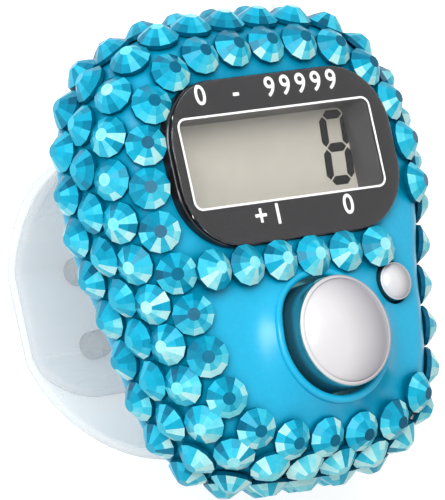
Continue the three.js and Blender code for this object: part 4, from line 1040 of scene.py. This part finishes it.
def seen_straight(tree):
    """1 for what the camera sees by itself, in a mirror or through glass, and 0 for light on its way."""
    seen = add_node(tree, "ShaderNodeLightPath")
    either = add_node(tree, "ShaderNodeMath", {0: seen.outputs["Is Camera Ray"],
                                               1: seen.outputs["Is Glossy Ray"]}, operation="MAXIMUM")
    through = add_node(tree, "ShaderNodeMath", {0: either.outputs[0], 1: seen.outputs["Is Transmission Ray"]},
                       operation="MAXIMUM")
    return through.outputs[0]


floor = add_mesh("floor", stacked([rounded_rectangle(FLOOR_REACH, FLOOR_REACH, 10)] * 2, [-5.0, -0.02]))
matt_floor, tree = start_material("matt_white_floor")
floor_place = add_node(tree, "ShaderNodeTexCoord")
floor_grain = add_node(tree, "ShaderNodeTexNoise", {"Vector": floor_place.outputs["Object"],
                                                    "Scale": 1 / (30 * MM)})
floor_shade = add_node(tree, "ShaderNodeMix", {0: floor_grain.outputs["Fac"], 6: colour("EDEDED"),
                                               7: colour("F0F0F0")}, data_type="RGBA")
matt = add_node(tree, "ShaderNodeBsdfPrincipled", {"Base Color": floor_shade.outputs[2], "Roughness": 0.9})
lift = add_node(tree, "ShaderNodeMath", {0: seen_straight(tree), 1: FLOOR_GLOW}, operation="MULTIPLY")
glow = add_node(tree, "ShaderNodeEmission", {"Color": colour("FFFFFF"), "Strength": lift.outputs[0]})
both = add_node(tree, "ShaderNodeAddShader", {0: matt.outputs["BSDF"], 1: glow.outputs["Emission"]})
add_node(tree, "ShaderNodeOutputMaterial", {"Surface": both.outputs["Shader"]})
dress(matt_floor, floor)

room = bpy.data.worlds.new("white_room")
bpy.context.scene.world = room
room.use_nodes = True
tree = room.node_tree
tree.nodes.clear()
strength = add_node(tree, "ShaderNodeMath", {0: seen_straight(tree), 1: 1 - ROOM_STRENGTH, 2: ROOM_STRENGTH},
                    operation="MULTIPLY_ADD")
sky = add_node(tree, "ShaderNodeBackground", {"Color": colour("FFFFFF"), "Strength": strength.outputs[0]})
add_node(tree, "ShaderNodeOutputWorld", {"Surface": sky.outputs["Background"]})


def aimed(name, data, away, distance, up):
    """A lamp or camera at a distance from the aim point, looking at it: its axes are the columns
    up x away, up and away."""
    thing = show(name, data)
    away = unit(away)
    up = unit(up - away * (up @ away))
    axes = np.column_stack([np.cross(up, away), up, away, (AIM + away * distance) * MM])
    thing.matrix_world = np.vstack([axes, [0, 0, 0, 1]]).T.tolist()
    return thing


lamp = bpy.data.lights.new("soft_lamp", "AREA")
lamp.size = LAMP_WIDTH * MM
lamp.energy = LAMP_WATTS
aimed("soft_lamp", lamp, LAMP_SIDE, LAMP_DISTANCE, np.array([0.0, 0.0, 1.0]))

lens_data = bpy.data.cameras.new("camera")
lens_data.sensor_fit = "VERTICAL"
lens_data.sensor_height = SENSOR_HEIGHT
lens_data.lens = SENSOR_HEIGHT * CAMERA_DISTANCE / VIEW_HEIGHT
lens_data.clip_start = 0.01
bpy.context.scene.camera = aimed("camera", lens_data, TOWARDS_CAMERA, CAMERA_DISTANCE, PICTURE_UP)
bpy.context.scene.view_settings.view_transform = "Standard"
